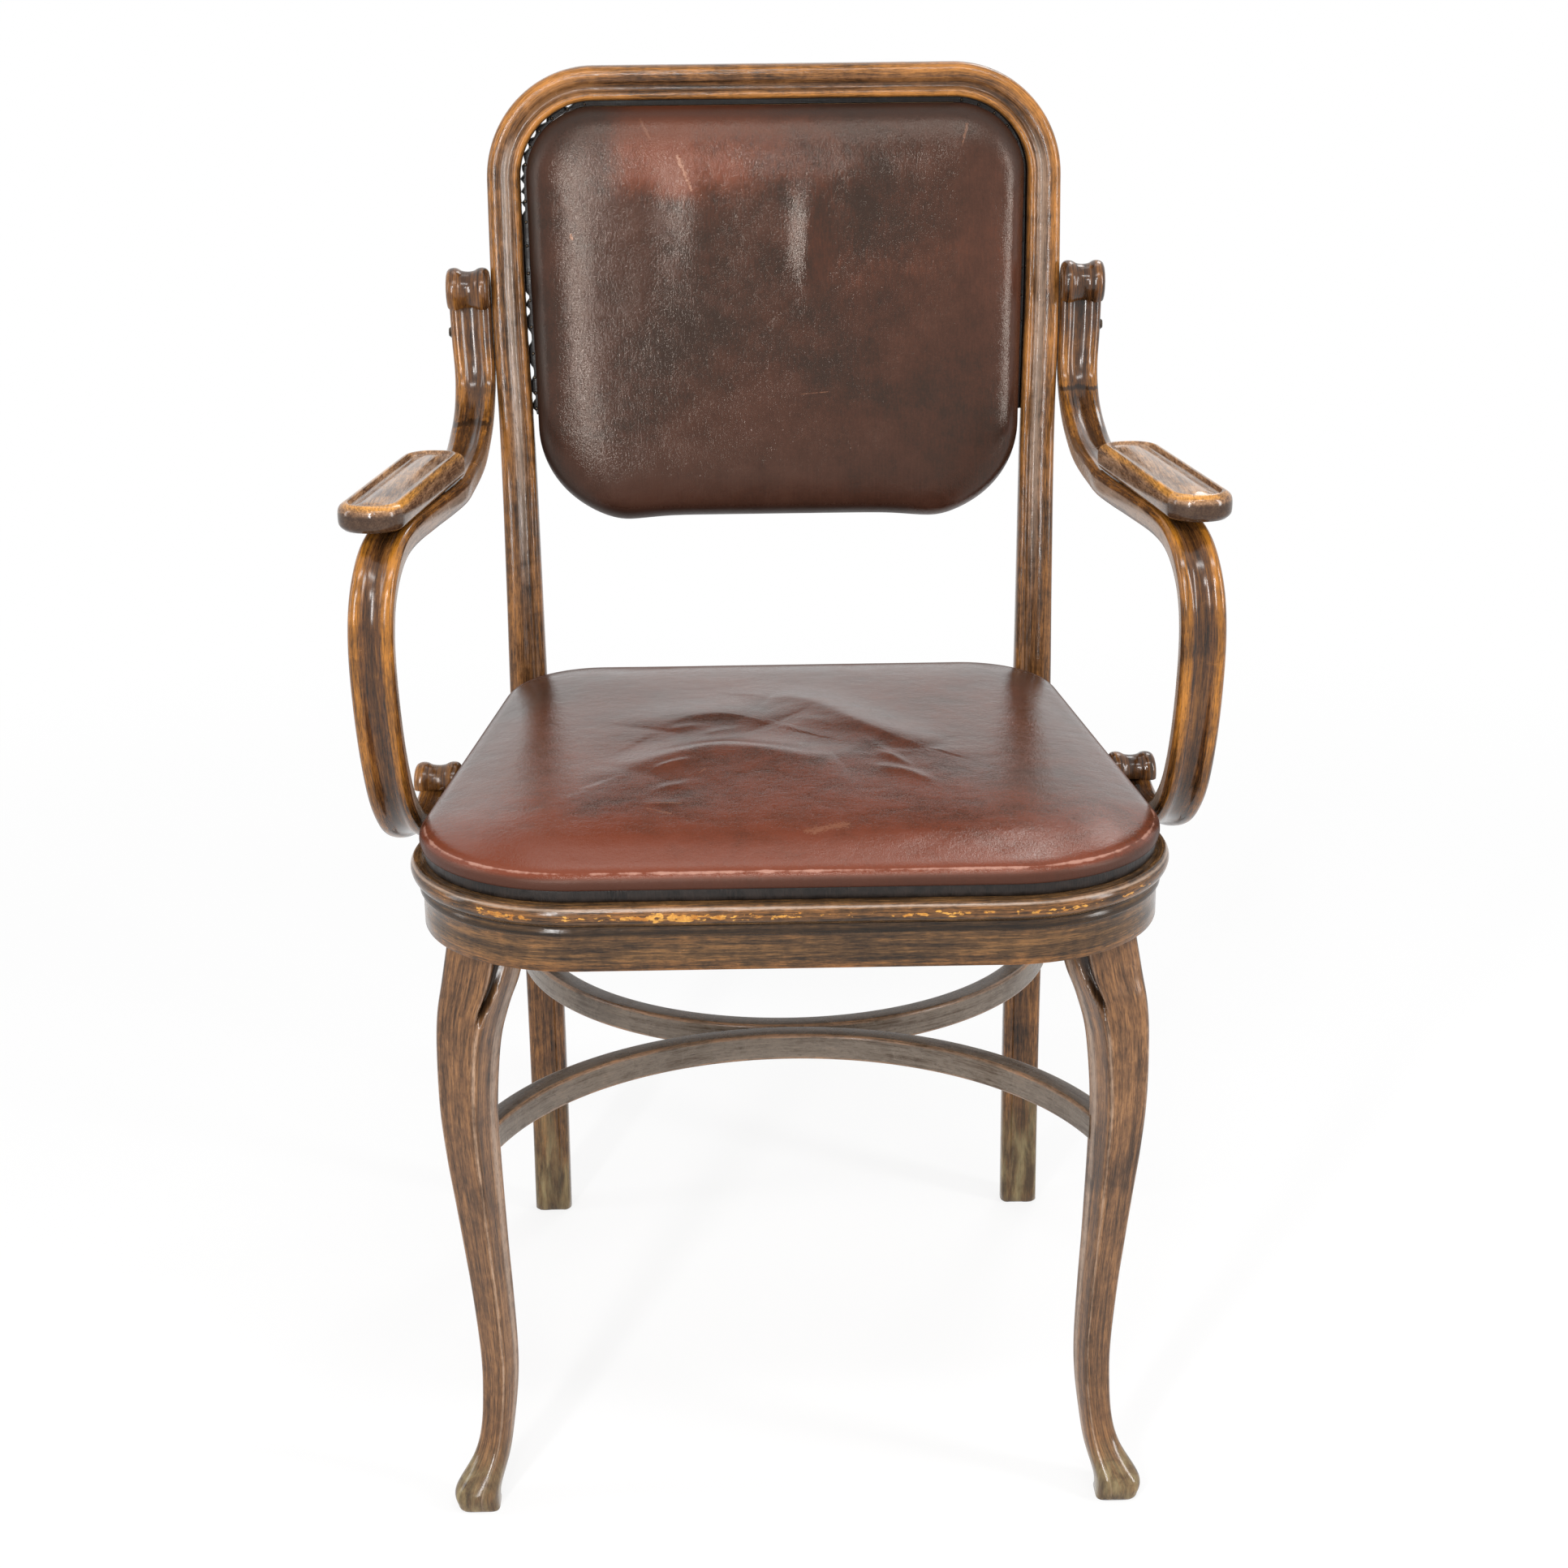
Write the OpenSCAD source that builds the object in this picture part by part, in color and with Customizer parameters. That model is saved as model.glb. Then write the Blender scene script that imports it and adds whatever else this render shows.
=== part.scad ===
// Bentwood armchair with a padded back and seat.
// +Z is up, the chair looks towards -Y, and its right armrest seen from the front is at +X.

/* [Overall] */
// Overall height, floor to the top of the back frame
chair_h = 962; // [900:1:1020]
// Height of the underside of the seat ring
ring_z = 422; // [390:1:450]
// Clearance kept where a curved piece lies against its neighbour
fit = 0.3; // [0.1:0.05:0.5]

/* [Back frame] */
// Sideways distance of the rear foot centres from the middle
foot_x = 203; // [190:0.5:215]
// Sideways distance of the upright centres at seat height
seat_x = 205; // [190:0.5:215]
// Sideways distance of the upright centres at the top corners
top_x = 213.5; // [200:0.5:225]
// Half width of the rod at the foot and at the seat
rod_low = 15.5; // [13:0.1:18]
// Half width of the rod at the top
rod_top = 13.2; // [11:0.1:16]
// Half depth of the rod, front to back
rod_deep = 13.5; // [12:0.1:18]
// Half depth of the rod at the top rail
rod_thin = 12.5; // [11:0.1:16]
// Centre radius of the two top corners
corner_r = 72; // [45:0.5:90]
// Backward position of the rod centre at the seat
rod_y = 202.6; // [190:0.5:230]
// How far the rear feet stand behind the rod at the seat
foot_splay = 12.5; // [0:0.5:30]
// Height at which the back starts to lean
lean_from = 430; // [400:1:480]
// Height from which the back is straight
lean_to = 610; // [560:1:640]
// Lean of the back, in degrees
lean = 9.6; // [5:0.01:14]

/* [Seat ring] */
// Height of the seat ring
ring_h = 48; // [36:1:60]
// Thickness of the seat ring, bead included
ring_t = 36; // [28:1:42]
// How far the apron sits in behind the bead
bead_out = 8; // [4:0.5:12]
// Sideways position of the front corner centres
front_cx = 142; // [120:0.5:170]
// Forward position of the front corner centres
front_cy = -170; // [-190:0.5:-150]
// Outer radius of the front corners
front_r = 118; // [90:0.5:130]
// Sideways position of the rear corner centres
rear_cx = 151; // [140:0.5:180]
// Backward position of the rear corner centres
rear_cy = 141; // [100:0.5:150]
// Outer radius of the rear corners
rear_r = 70; // [60:0.5:100]

/* [Seat] */
// Thickness of the seat board
board_t = 10; // [6:0.5:12]
// Inset of the seat board from the bead
board_in = 13; // [10:0.5:20]
// Inset of the leather edge from the bead
pad_in = 9.5; // [8:0.5:16]
// How much rounder the seat board is than the ring at the rear corners
rear_round = 8; // [0:0.5:12]
// How much closer the seat board comes to the bead at the rear corners
rear_gain = 4.5; // [0:0.5:8]
// Height of the seat crown above the board
seat_crown = 22; // [15:1:45]
// Width of the dark edging round the seat
edging_w = 3; // [2:0.5:5]

/* [Front legs] */
// How far the toe stays inside the bead of the front corner
toe_in = 7; // [0:0.5:20]
// Direction of the toe seen from the corner centre, in degrees
toe_a = -40.43; // [-50:0.01:-30]
// Side of the square leg at its top
leg_top = 42; // [34:0.5:46]
// Side of the square leg at the knee
leg_knee = 31; // [26:0.5:38]
// Side of the square leg at the ankle
leg_ankle = 20; // [17:0.5:26]

/* [Stretchers] */
// Height of the underside of the stretchers
stretcher_z = 272; // [240:1:300]
// Height of a stretcher
stretcher_h = 20; // [15:0.5:25]
// Thickness of a stretcher
stretcher_t = 17; // [12:0.5:22]
// How far the front bow reaches back from the front legs
bow_deep = 144.6; // [120:0.1:170]
// How far the ends of the rear bow sit outside the middle of the rear feet
rear_bow_out = 2.5; // [0:0.5:6]
// Edge break on a stretcher
stretcher_c = 3; // [1:0.5:5]

/* [Arms] */
// Half width of the arm strip
arm_w = 15.5; // [12:0.1:18]
// Half thickness of the arm strip
arm_t = 9; // [6:0.1:11]
// Height of the strip centre under the armrest
arm_z = 680; // [640:1:720]
// Front of the arm bow, strip centre
arm_front = -171; // [-190:1:-150]
// Depth of the hollow along the middle of the strip
arm_hollow = 2.8; // [0:0.1:4]
// Centre radius of the upper scroll
scroll_r = 10; // [8:0.5:14]

/* [Armrests] */
// Length of an armrest
rest_l = 198; // [150:1:210]
// Half width of an armrest
rest_w = 23; // [22:0.5:32]
// Thickness of an armrest
rest_t = 18; // [12:0.5:24]
// Depth of the channel in the top of an armrest
rest_channel = 2.6; // [0:0.1:5]
// Sideways position of the middle of an armrest
rest_x = 265.5; // [255:0.5:285]
// Backward position of the middle of an armrest
rest_y = -64; // [-80:0.5:-40]
// How far the armrests splay towards the front, in degrees
rest_splay = 8.5; // [0:0.1:10]

/* [Back pad] */
// Half width of the pad at its top corners
pad_top_x = 195.5; // [180:0.5:198]
// Half width of the pad at its bottom corners
pad_low_x = 190.5; // [175:0.5:194]
// Radius of the top corners of the pad
pad_top_r = 54; // [30:0.5:60]
// Radius of the bottom corners of the pad
pad_low_r = 72; // [40:0.5:90]
// Height of the bottom edge of the pad
pad_low_z = 616; // [600:1:660]
// Thickness of the back board
back_t = 8; // [5:0.5:12]
// Forward crown of the back pad
back_crown = 30; // [15:1:45]
// Width of the ledge that holds the back pad
ledge_w = 4.2; // [2:0.1:5]

/* [Hidden] */

rail_z = chair_h - rod_top;
corner_z = rail_z - corner_r;
corner_x = top_x - corner_r;
pad_top_z = rail_z - rod_top - 4.3;
ring_top = ring_z + ring_h;
board_top = ring_top + board_t;
toe_x = front_cx + (front_r - toe_in) * cos(toe_a);
toe_y = front_cy + (front_r - toe_in) * sin(toe_a);
lean_m = tan(lean);
bolt_z = ring_z + ring_h / 2;
stretcher_mid = stretcher_z + stretcher_h / 2;
wood = [0.34, 0.21, 0.13];
leather = [0.30, 0.16, 0.13];
dark = [0.10, 0.07, 0.06];
steel = [0.45, 0.42, 0.38];

// Curve through a list of points
function cr(a, b, c, d, t) = 0.5 * (
    2 * b + (c - a) * t + (2 * a - 5 * b + 4 * c - d) * t * t
    + (3 * b - a - 3 * c + d) * t * t * t
);
function curve(p, n) = [
    for (i = [0 : len(p) - 2], k = [0 : n - 1])
        cr(p[max(0, i - 1)], p[i], p[i + 1], p[min(len(p) - 1, i + 2)], k / n),
    p[len(p) - 1]
];

// Centre of a loop of points
function middle(r) = [for (k = [0 : 2]) let (v = [for (q = r) q[k]]) v * [for (q = r) 1] / len(r)];

// Surface over a row of equal loops, closed into itself or capped at both ends
module skin(rows, round_trip = false, flip = false) {
    m = len(rows);
    k = len(rows[0]);
    body = [for (r = rows, q = r) q];
    pts = round_trip ? body : concat(body, [middle(rows[0]), middle(rows[m - 1])]);
    side = [
        for (i = [0 : (round_trip ? m - 1 : m - 2)], j = [0 : k - 1])
            let (a = i * k + j, b = i * k + (j + 1) % k)
            let (c = ((i + 1) % m) * k + (j + 1) % k, d = ((i + 1) % m) * k + j)
            for (f = [[a, b, c], [a, c, d]]) f
    ];
    caps = round_trip ? [] : [
        for (j = [0 : k - 1])
            for (f = [
                [m * k, (j + 1) % k, j],
                [m * k + 1, (m - 1) * k + j, (m - 1) * k + (j + 1) % k]
            ]) f
    ];
    all = concat(side, caps);
    polyhedron(points = pts, faces = flip ? [for (f = all) [f[0], f[2], f[1]]] : all);
}

// Outline with four round corners, symmetric about the middle
function round_loop(xa, ya, ra, xb, yb, rb, inset, na, nb) =
    let (dx = xb - xa, dy = yb - ya)
    let (t = atan2(dy, dx) - acos((ra - rb) / norm([dx, dy])))
    let (half = [
        for (i = [0 : na]) let (a = -90 + (t + 90) * i / na)
            [xa + (ra - inset) * cos(a), ya + (ra - inset) * sin(a)],
        for (i = [0 : nb]) let (a = t + (90 - t) * i / nb)
            [xb + (rb - inset) * cos(a), yb + (rb - inset) * sin(a)]
    ])
    concat(half, [for (i = [len(half) - 1 : -1 : 0]) [-half[i][0], half[i][1]]]);

function seat_loop(inset) =
    round_loop(front_cx, front_cy, front_r, rear_cx, rear_cy, rear_r, inset, 12, 11);
function top_loop(inset) = round_loop(
    front_cx, front_cy, front_r,
    rear_cx - rear_round, rear_cy - rear_round, rear_r + rear_gain + rear_round, inset, 12, 11
);
function pad_loop(inset) = round_loop(
    pad_low_x - pad_low_r, pad_low_z + pad_low_r, pad_low_r,
    pad_top_x - pad_top_r, pad_top_z - pad_top_r, pad_top_r, inset, 12, 11
);

// Angle of the straight sides of the seat ring, and the bead line along them
side_a = atan2(rear_cy - front_cy, rear_cx - front_cx)
    - acos((front_r - rear_r) / norm([rear_cx - front_cx, rear_cy - front_cy]));
function bead_x(y) =
    (front_cx * cos(side_a) + front_cy * sin(side_a) + front_r - y * sin(side_a)) / cos(side_a);

// Backward position of the back frame centre at a height
function rod_back(z) = rod_y
    + (z < 300 ? foot_splay * pow((300 - z) / 300, 2) : 0)
    + (z <= lean_from ? 0
        : z < lean_to ? lean_m * pow(z - lean_from, 2) / (2 * (lean_to - lean_from))
        : lean_m * (z - (lean_from + lean_to) / 2));

// Rod section: outward and forward shares of the half width and half depth
rod_shape = [
    [1, 0], [1, 0.45], [0.93, 0.78], [0.72, 0.96], [0.42, 1], [0.15, 0.93], [-0.05, 0.78],
    [-0.22, 0.70], [-0.40, 0.74], [-0.52, 0.90], [-0.70, 0.97], [-0.88, 0.88],
    [-0.98, 0.62], [-1, 0.2], [-0.94, -0.35], [-0.74, -0.74], [-0.38, -0.96],
    [0.38, -0.96], [0.74, -0.74], [0.96, -0.38]
];
rod_rows = [
    [0, foot_x, rod_low, rod_deep],
    [110, foot_x - 1, rod_low, rod_deep],
    [220, foot_x - 1, rod_low, rod_deep],
    [330, foot_x + 0.5, rod_low, rod_deep],
    [445, seat_x, rod_low, rod_deep],
    [560, seat_x + 1, rod_low - 1, rod_deep - 0.3],
    [670, seat_x + 3, rod_low - 1.6, rod_deep - 0.6],
    [780, top_x - 1.5, rod_top + 0.4, rod_thin + 0.2],
    [corner_z, top_x, rod_top, rod_thin]
];
// One side of the rod: centre x, centre z, outward direction, half width, half depth
function rod_out(z) = lookup(z, [for (s = rod_side) if (s[2] == 0) [s[1], s[0] + s[3]]]);
rod_side = concat(
    [for (r = curve(rod_rows, 2)) [r[1], r[0], 0, r[2], r[3]]],
    [for (i = [1 : 10]) [
        corner_x + corner_r * cos(9 * i), corner_z + corner_r * sin(9 * i), 9 * i, rod_top, rod_thin
    ]]
);
function rod_point(s, u, q, side) =
    let (z = s[1] + u * sin(s[2]))
    [side * (s[0] + u * cos(s[2])), rod_back(z) + q, z];
function rod_loop(s, side) = [for (p = rod_shape) rod_point(s, p[0] * s[3], -p[1] * s[4], side)];

module rod_body() {
    n = len(rod_side);
    skin(concat(
        [for (i = [0 : n - 1]) rod_loop(rod_side[i], 1)],
        [for (i = [n - 1 : -1 : 0]) rod_loop(rod_side[i], -1)]
    ));
}

// Direction of the bolts that tie the uprights to the ring corners
tie_a = atan2(rod_y - rear_cy, seat_x - rear_cx);
tie_r = norm([seat_x - rear_cx, rod_y - rear_cy]);
module along_tie(side) {
    mirror([side < 0 ? 1 : 0, 0, 0])
        translate([rear_cx, rear_cy, bolt_z])
            rotate([0, 0, tie_a])
                rotate([0, 90, 0])
                    children();
}

module back_frame() {
    color(wood)
        difference() {
            rod_body();
            for (side = [-1, 1]) {
                for (n = ring_notches)
                    translate([side * rear_cx, rear_cy, ring_z + n[0]])
                        cylinder(h = n[1] - n[0], r = rear_r - n[2] + fit, $fn = 72);
                along_tie(side)
                    cylinder(h = tie_r + 40, r = 3.2, $fn = 24);
                translate([side * (seat_x + 8), arm_top_y, arm_top_z])
                    rotate([0, side * 90, 0])
                        translate([0, 0, -10])
                            cylinder(h = 40, r = 2.2, $fn = 24);
                translate([side * rear_end_x, rod_back(stretcher_mid) - rod_deep - 6, stretcher_mid])
                    rotate([-90, 0, 0])
                        cylinder(h = 18, r = 4.15, $fn = 24);
            }
        }
}

// Seat ring section: inset from the bead, height above the underside
fillet_out = 2.5;
ring_shape = [
    [ring_t, 0], [bead_out + 1, 0], [bead_out, 1], [bead_out, ring_h * 0.50],
    [bead_out - fillet_out, ring_h * 0.54], [bead_out - fillet_out, ring_h * 0.60], [bead_out - 1, ring_h * 0.66],
    [bead_out - 3.5, ring_h * 0.70], [1.4, ring_h * 0.76], [0, ring_h * 0.86],
    [1.2, ring_h * 0.94], [4.2, ring_h * 0.99], [7, ring_h], [ring_t, ring_h]
];
// Notches of the rod for the ring: lower and upper height, inset from the bead
ring_notches = [
    [-fit, ring_h * 0.52, bead_out],
    [ring_h * 0.48, ring_h * 0.68, bead_out - fillet_out],
    [ring_h * 0.64, ring_h + fit, 0]
];
module seat_ring() {
    loops = [for (p = ring_shape) [for (q = seat_loop(p[0])) [q[0], q[1], ring_z + p[1]]]];
    color(wood)
        difference() {
            skin(loops, round_trip = true, flip = true);
            for (p = board_pins)
                translate([p[0], p[1], ring_top - pin_deep - 1])
                    cylinder(h = pin_deep + 6, r = 2.2, $fn = 20);
            for (side = [-1, 1]) {
                along_tie(side)
                    cylinder(h = tie_r + 40, r = 3.2, $fn = 24);
                along_arm_bolt(side) {
                    translate([0, 0, -ring_t - 5])
                        cylinder(h = ring_t + 10, r = 2.7, $fn = 24);
                    translate([0, 0, -bead_out])
                        cylinder(h = bead_out + 5, r = spacer_r + fit, $fn = 32);
                }
            }
        }
}

// Front leg rows: height, sideways position, side of the square, corner sharpness, share squared up
leg_rows = [
    [ring_z, toe_x - 24.5, leg_top, 9, 0],
    [397, toe_x - 20.5, leg_top - 1.5, 9, 0],
    [377, toe_x - 11.5, leg_knee + 6.6, 9, 0],
    [352, toe_x - 6.2, leg_knee + 2.2, 9, 0],
    [308, toe_x - 4.9, leg_knee - 1, 9, 0],
    [269, toe_x - 6.5, leg_knee - 3, 9, 0],
    [232, toe_x - 9, leg_knee - 5.2, 8, 0],
    [195, toe_x - 11.5, leg_ankle + 3.6, 8, 0],
    [159, toe_x - 14, leg_ankle + 2.2, 7, 0],
    [114, toe_x - 16.2, leg_ankle + 1, 6, 0],
    [85, toe_x - 15.8, leg_ankle + 0.4, 5, 0],
    [55, toe_x - 13, leg_ankle, 4, 0.1],
    [35, toe_x - 8.5, leg_ankle + 2.5, 4, 0.25],
    [15, toe_x + 1, leg_ankle + 10, 4, 0.6],
    [4, toe_x + 1, leg_ankle + 9, 4, 0.9],
    [0, toe_x - 0.5, leg_ankle + 6.5, 5, 1]
];
leg_line = curve(leg_rows, 2);
function leg_y(x) = toe_y + toe_x - x;
function squared(a, p) = 1 / pow(pow(abs(cos(a)), p) + pow(abs(sin(a)), p), 1 / p);
function leg_loop(r, side) =
    [for (i = [0 : 15]) let (a = 22.5 * i)
        let (q = r[2] * 0.507 * ((1 - r[4]) * squared(a - 45, r[3]) + r[4] * squared(a, r[3])))
        [side * (r[1] + q * cos(a)), leg_y(r[1]) - r[4] * 2 + q * sin(a), r[0]]];
module front_leg(side) {
    color(wood)
        difference() {
            skin([for (r = leg_line) leg_loop(r, side)], flip = side < 0);
            translate([side * leg_pin_x, leg_pin_y, ring_z - leg_pin_l - 1])
                cylinder(h = leg_pin_l + 10, r = 3.2, $fn = 24);
            mirror([side < 0 ? 1 : 0, 0, 0])
                front_pin(4.15);
        }
}
module front_leg_left() {
    front_leg(-1);
}
module front_leg_right() {
    front_leg(1);
}

// Stretchers: two bows laid back to back
module bow_section(r) {
    polygon([
        [r, stretcher_c], [r + stretcher_c, 0], [r + stretcher_t - stretcher_c, 0],
        [r + stretcher_t, stretcher_c], [r + stretcher_t, stretcher_h - stretcher_c],
        [r + stretcher_t - stretcher_c, stretcher_h], [r + stretcher_c, stretcher_h],
        [r, stretcher_h - stretcher_c]
    ]);
}
// Rear inner face of a front leg at the height of the stretcher
leg_mid_x = lookup(stretcher_mid, [for (r = leg_line) [r[0], r[1]]]);
leg_mid_h = lookup(stretcher_mid, [for (r = leg_line) [r[0], r[2]]]) * 0.507;
face_gap = 0.7;
// Place of the joint between the front bow and a front leg
joint_off = 1.2;
joint_x = leg_mid_x - leg_mid_h / sqrt(2) - joint_off;
joint_y = leg_y(leg_mid_x) + leg_mid_h / sqrt(2) - joint_off;
bow_mid = (pow(joint_x, 2) + pow(bow_deep, 2)) / (2 * bow_deep);
bow_r = bow_mid - stretcher_t / 2;
bow_y = joint_y + bow_deep - bow_mid;
joint_a = atan2(joint_y - bow_y, joint_x);
front_end_a = joint_a - 7;
// The rear bow is a half circle between the rear legs, laid against the front one
rear_end_x = foot_x + rear_bow_out;
rear_bow_r = rear_end_x - stretcher_t / 2;
bows_y = joint_y + bow_deep + stretcher_t / 2;
rear_bow_y = bows_y + fit + rear_bow_r + stretcher_t;
module front_pin(r) {
    translate([joint_x, joint_y, stretcher_mid])
        rotate([0, 0, joint_a - 90])
            rotate([0, 90, 0])
                translate([0, 0, -12])
                    cylinder(h = 24, r = r, $fn = 24);
}
module front_stretcher() {
    color(wood)
        difference() {
            translate([0, bow_y, stretcher_z])
                rotate([0, 0, front_end_a])
                    rotate_extrude(angle = 180 - 2 * front_end_a, $fn = 120)
                        bow_section(bow_r);
            for (side = [0, 1])
                mirror([side, 0, 0]) {
                    front_pin(4.15);
                    translate([leg_mid_x, leg_y(leg_mid_x), stretcher_z - 1])
                        rotate([0, 0, 45])
                            translate([-60, -120 + leg_mid_h + face_gap, 0])
                                cube([120, 120, stretcher_h + 2]);
                }
            translate([0, bows_y - stretcher_t - 5, stretcher_mid])
                rotate([-90, 0, 0])
                    cylinder(h = 40, r = 2.2, $fn = 24);
        }
}
module rear_stretcher() {
    end_y = rod_back(stretcher_mid) - rod_deep - fit;
    color(wood)
        difference() {
            union() {
                translate([0, rear_bow_y, stretcher_z])
                    rotate([0, 0, 180])
                        rotate_extrude(angle = 180, $fn = 120)
                            bow_section(rear_bow_r);
                for (side = [0, 1])
                    mirror([side, 0, 0])
                        translate([0, rear_bow_y, stretcher_z + stretcher_h])
                            rotate([-90, 0, 0])
                                linear_extrude(end_y - rear_bow_y)
                                    bow_section(rear_bow_r);
            }
            for (side = [-1, 1])
                translate([side * rear_end_x, end_y - 12, stretcher_mid])
                    rotate([-90, 0, 0])
                        cylinder(h = 20, r = 4.15, $fn = 24);
            translate([0, bows_y - 5, stretcher_mid])
                rotate([-90, 0, 0])
                    cylinder(h = 40, r = 2.2, $fn = 24);
        }
}

// Arm strip: inner edge, backward position and height of the centre, from the upper scroll down
arm_top_z = 760;
arm_top_y = rod_back(arm_top_z) - 4;
arm_low_y = -40;
arm_low_z = 448.5;
scroll_z = 793;
function beside_rod(z) = rod_out(z) + fit;
function beside_ring(y) = bead_x(y) + fit;
arm_key = [
    [beside_rod(scroll_z), rod_back(scroll_z) - 4, scroll_z],
    [beside_rod(arm_top_z), arm_top_y, arm_top_z],
    [beside_rod(730), rod_back(730) - 5, 730],
    [224.5, 222, 710],
    [225, 199, 694],
    [225.5, 168, 684],
    [225.5, 135, arm_z - 1],
    [225.5, 95, arm_z - 1.8],
    [225.8, 50, arm_z - 0.8],
    [227, 10, arm_z - fit],
    [232.3, -25, arm_z - fit],
    [240, -65, arm_z - fit],
    [249.3, -115, arm_z - fit - 0.8],
    [255, -144, arm_z - 7.5],
    [259, arm_front + 8, arm_z - 23],
    [261.8, arm_front - 1, arm_z - 46],
    [263, arm_front, 600],
    [261.6, arm_front + 5.5, 552],
    [259, arm_front + 17.5, 510],
    [256.7, -133, 484],
    [beside_ring(-107) + 1, -107, 467],
    [beside_ring(-72), -72, 454],
    [beside_ring(arm_low_y), arm_low_y, arm_low_z],
    [beside_ring(-20), -16, 451.5],
    [beside_ring(-5), 2, 461]
];
arm_line = curve(arm_key, 2);
// Upper scroll turns forward, lower scroll turns up and forward
arm_scroll_top = [for (i = [5 : -1 : 1]) let (a = 48 * i) [
    beside_rod(scroll_z),
    rod_back(scroll_z) - 4 - scroll_r + scroll_r * cos(a),
    scroll_z + scroll_r * sin(a)
]];
low_r = 7.5;
arm_scroll_low = [for (i = [1 : 5]) let (a = -28 + 46 * i, y = 2 + low_r * (cos(a) - cos(28))) [
    beside_ring(y - arm_t), y, 461 + low_r * (sin(28) + sin(a))
]];
arm_path = concat(arm_scroll_top, arm_line, arm_scroll_low);
arm_shape = [
    [1, 0.45], [0.88, 0.93], [0.62, 1], [0.32, 1 - 0.75 * arm_hollow / arm_t], [0, 1 - arm_hollow / arm_t],
    [-0.32, 1 - 0.75 * arm_hollow / arm_t], [-0.62, 1], [-0.88, 0.93], [-1, 0.45],
    [-1, -0.45], [-0.88, -0.93], [-0.62, -1], [-0.32, -1 + 0.75 * arm_hollow / arm_t],
    [0, -1 + arm_hollow / arm_t], [0.32, -1 + 0.75 * arm_hollow / arm_t], [0.62, -1],
    [0.88, -0.93], [1, -0.45]
];
arm_n = len(arm_path);
function arm_thick(i) = i < 5 ? arm_t * (0.78 + 0.03 * i)
    : i > arm_n - 8 ? arm_t * (0.98 - 0.055 * (i - arm_n + 8)) : arm_t;
function arm_flare(z) = lookup(z, [[700, 1], [750, 1.06], [805, 1.09]]);
function arm_wide(i) = arm_w * (i > arm_n - 6 ? 1.08 : arm_flare(arm_path[i][2]));
function arm_loop(i, side) =
    let (c = arm_path[i], a = arm_path[max(0, i - 1)], b = arm_path[min(arm_n - 1, i + 1)])
    let (ty = b[1] - a[1], tz = b[2] - a[2], n = norm([ty, tz]))
    [for (p = arm_shape) [
        side * (c[0] + (1 + p[0]) * arm_wide(i)),
        c[1] - tz / n * p[1] * arm_thick(i),
        c[2] + ty / n * p[1] * arm_thick(i)
    ]];
// Middle of the level part of the strip, and the line of the bolts that hold it to the ring
function arm_mid_x(y) = arm_w + lookup(y, [for (p = arm_line) if (p[2] > arm_z - 3 && p[1] < 90) [p[1], p[0]]]);
module along_arm_bolt(side) {
    mirror([side < 0 ? 1 : 0, 0, 0])
        translate([bead_x(arm_low_y), arm_low_y, arm_low_z])
            rotate([0, 0, side_a])
                rotate([0, 90, 0])
                    children();
}
module arm(side) {
    color(wood)
        difference() {
            skin([for (i = [0 : arm_n - 1]) arm_loop(i, side)], flip = side < 0);
            translate([side * (seat_x + 8), arm_top_y, arm_top_z])
                rotate([0, side * 90, 0])
                    cylinder(h = 60, r = 2.2, $fn = 20);
            along_arm_bolt(side)
                translate([0, 0, -5])
                    cylinder(h = 50, r = 2.7, $fn = 24);
            for (p = rest_pins)
                translate([side * p[0], p[1], arm_z - 2 * arm_t])
                    cylinder(h = 4 * arm_t, r = 2.2, $fn = 20);
        }
}
module arm_left() {
    arm(-1);
}
module arm_right() {
    arm(1);
}

// Armrests: rounded boards with a sunk channel round a raised middle
rest_pins = [for (y = [rest_y + 0.27 * rest_l, rest_y - 0.18 * rest_l]) [arm_mid_x(y), y]];
rest_shape = [
    [3, -rest_t], [1, -rest_t + 2], [0, -rest_t + 5], [0, -6], [1.2, -2.5], [4, -0.4], [6.5, 0],
    [8.5, -rest_channel * 0.8], [11, -rest_channel], [15, -rest_channel * 0.6], [19, -rest_channel * 0.25]
];
// Corner radii: rear outer, rear inner, front inner, front outer
rest_corner = [26, 13, 17, 18];
function rest_loop(inset, z) = [
    for (k = [0 : 3], i = [0 : 6]) let (a = 90 * k + 15 * i, r = max(rest_corner[k] - inset, 3))
        [
            (k == 0 || k == 3 ? 1 : -1) * (rest_w - inset - r) + r * cos(a),
            (k < 2 ? 1 : -1) * (rest_l / 2 - inset - r) + r * sin(a),
            z
        ]
];
module armrest(side) {
    color(wood)
        mirror([side < 0 ? 1 : 0, 0, 0])
            difference() {
                translate([rest_x, rest_y, arm_z + arm_t + rest_t])
                    rotate([0, 0, rest_splay])
                        skin([for (p = rest_shape) rest_loop(p[0], p[1])], flip = true);
                for (p = rest_pins)
                    translate([p[0], p[1], arm_z])
                        cylinder(h = arm_t + 11, r = 2.2, $fn = 20);
            }
}
module armrest_left() {
    armrest(-1);
}
module armrest_right() {
    armrest(1);
}

// Seat
module seat_board() {
    color([0.55, 0.42, 0.28])
        translate([0, 0, ring_top])
            difference() {
                linear_extrude(board_t)
                    polygon(top_loop(board_in));
                for (p = board_pins)
                    translate([p[0], p[1], -1])
                        cylinder(h = board_t + 2, r = 2.2, $fn = 20);
            }
}
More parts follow.
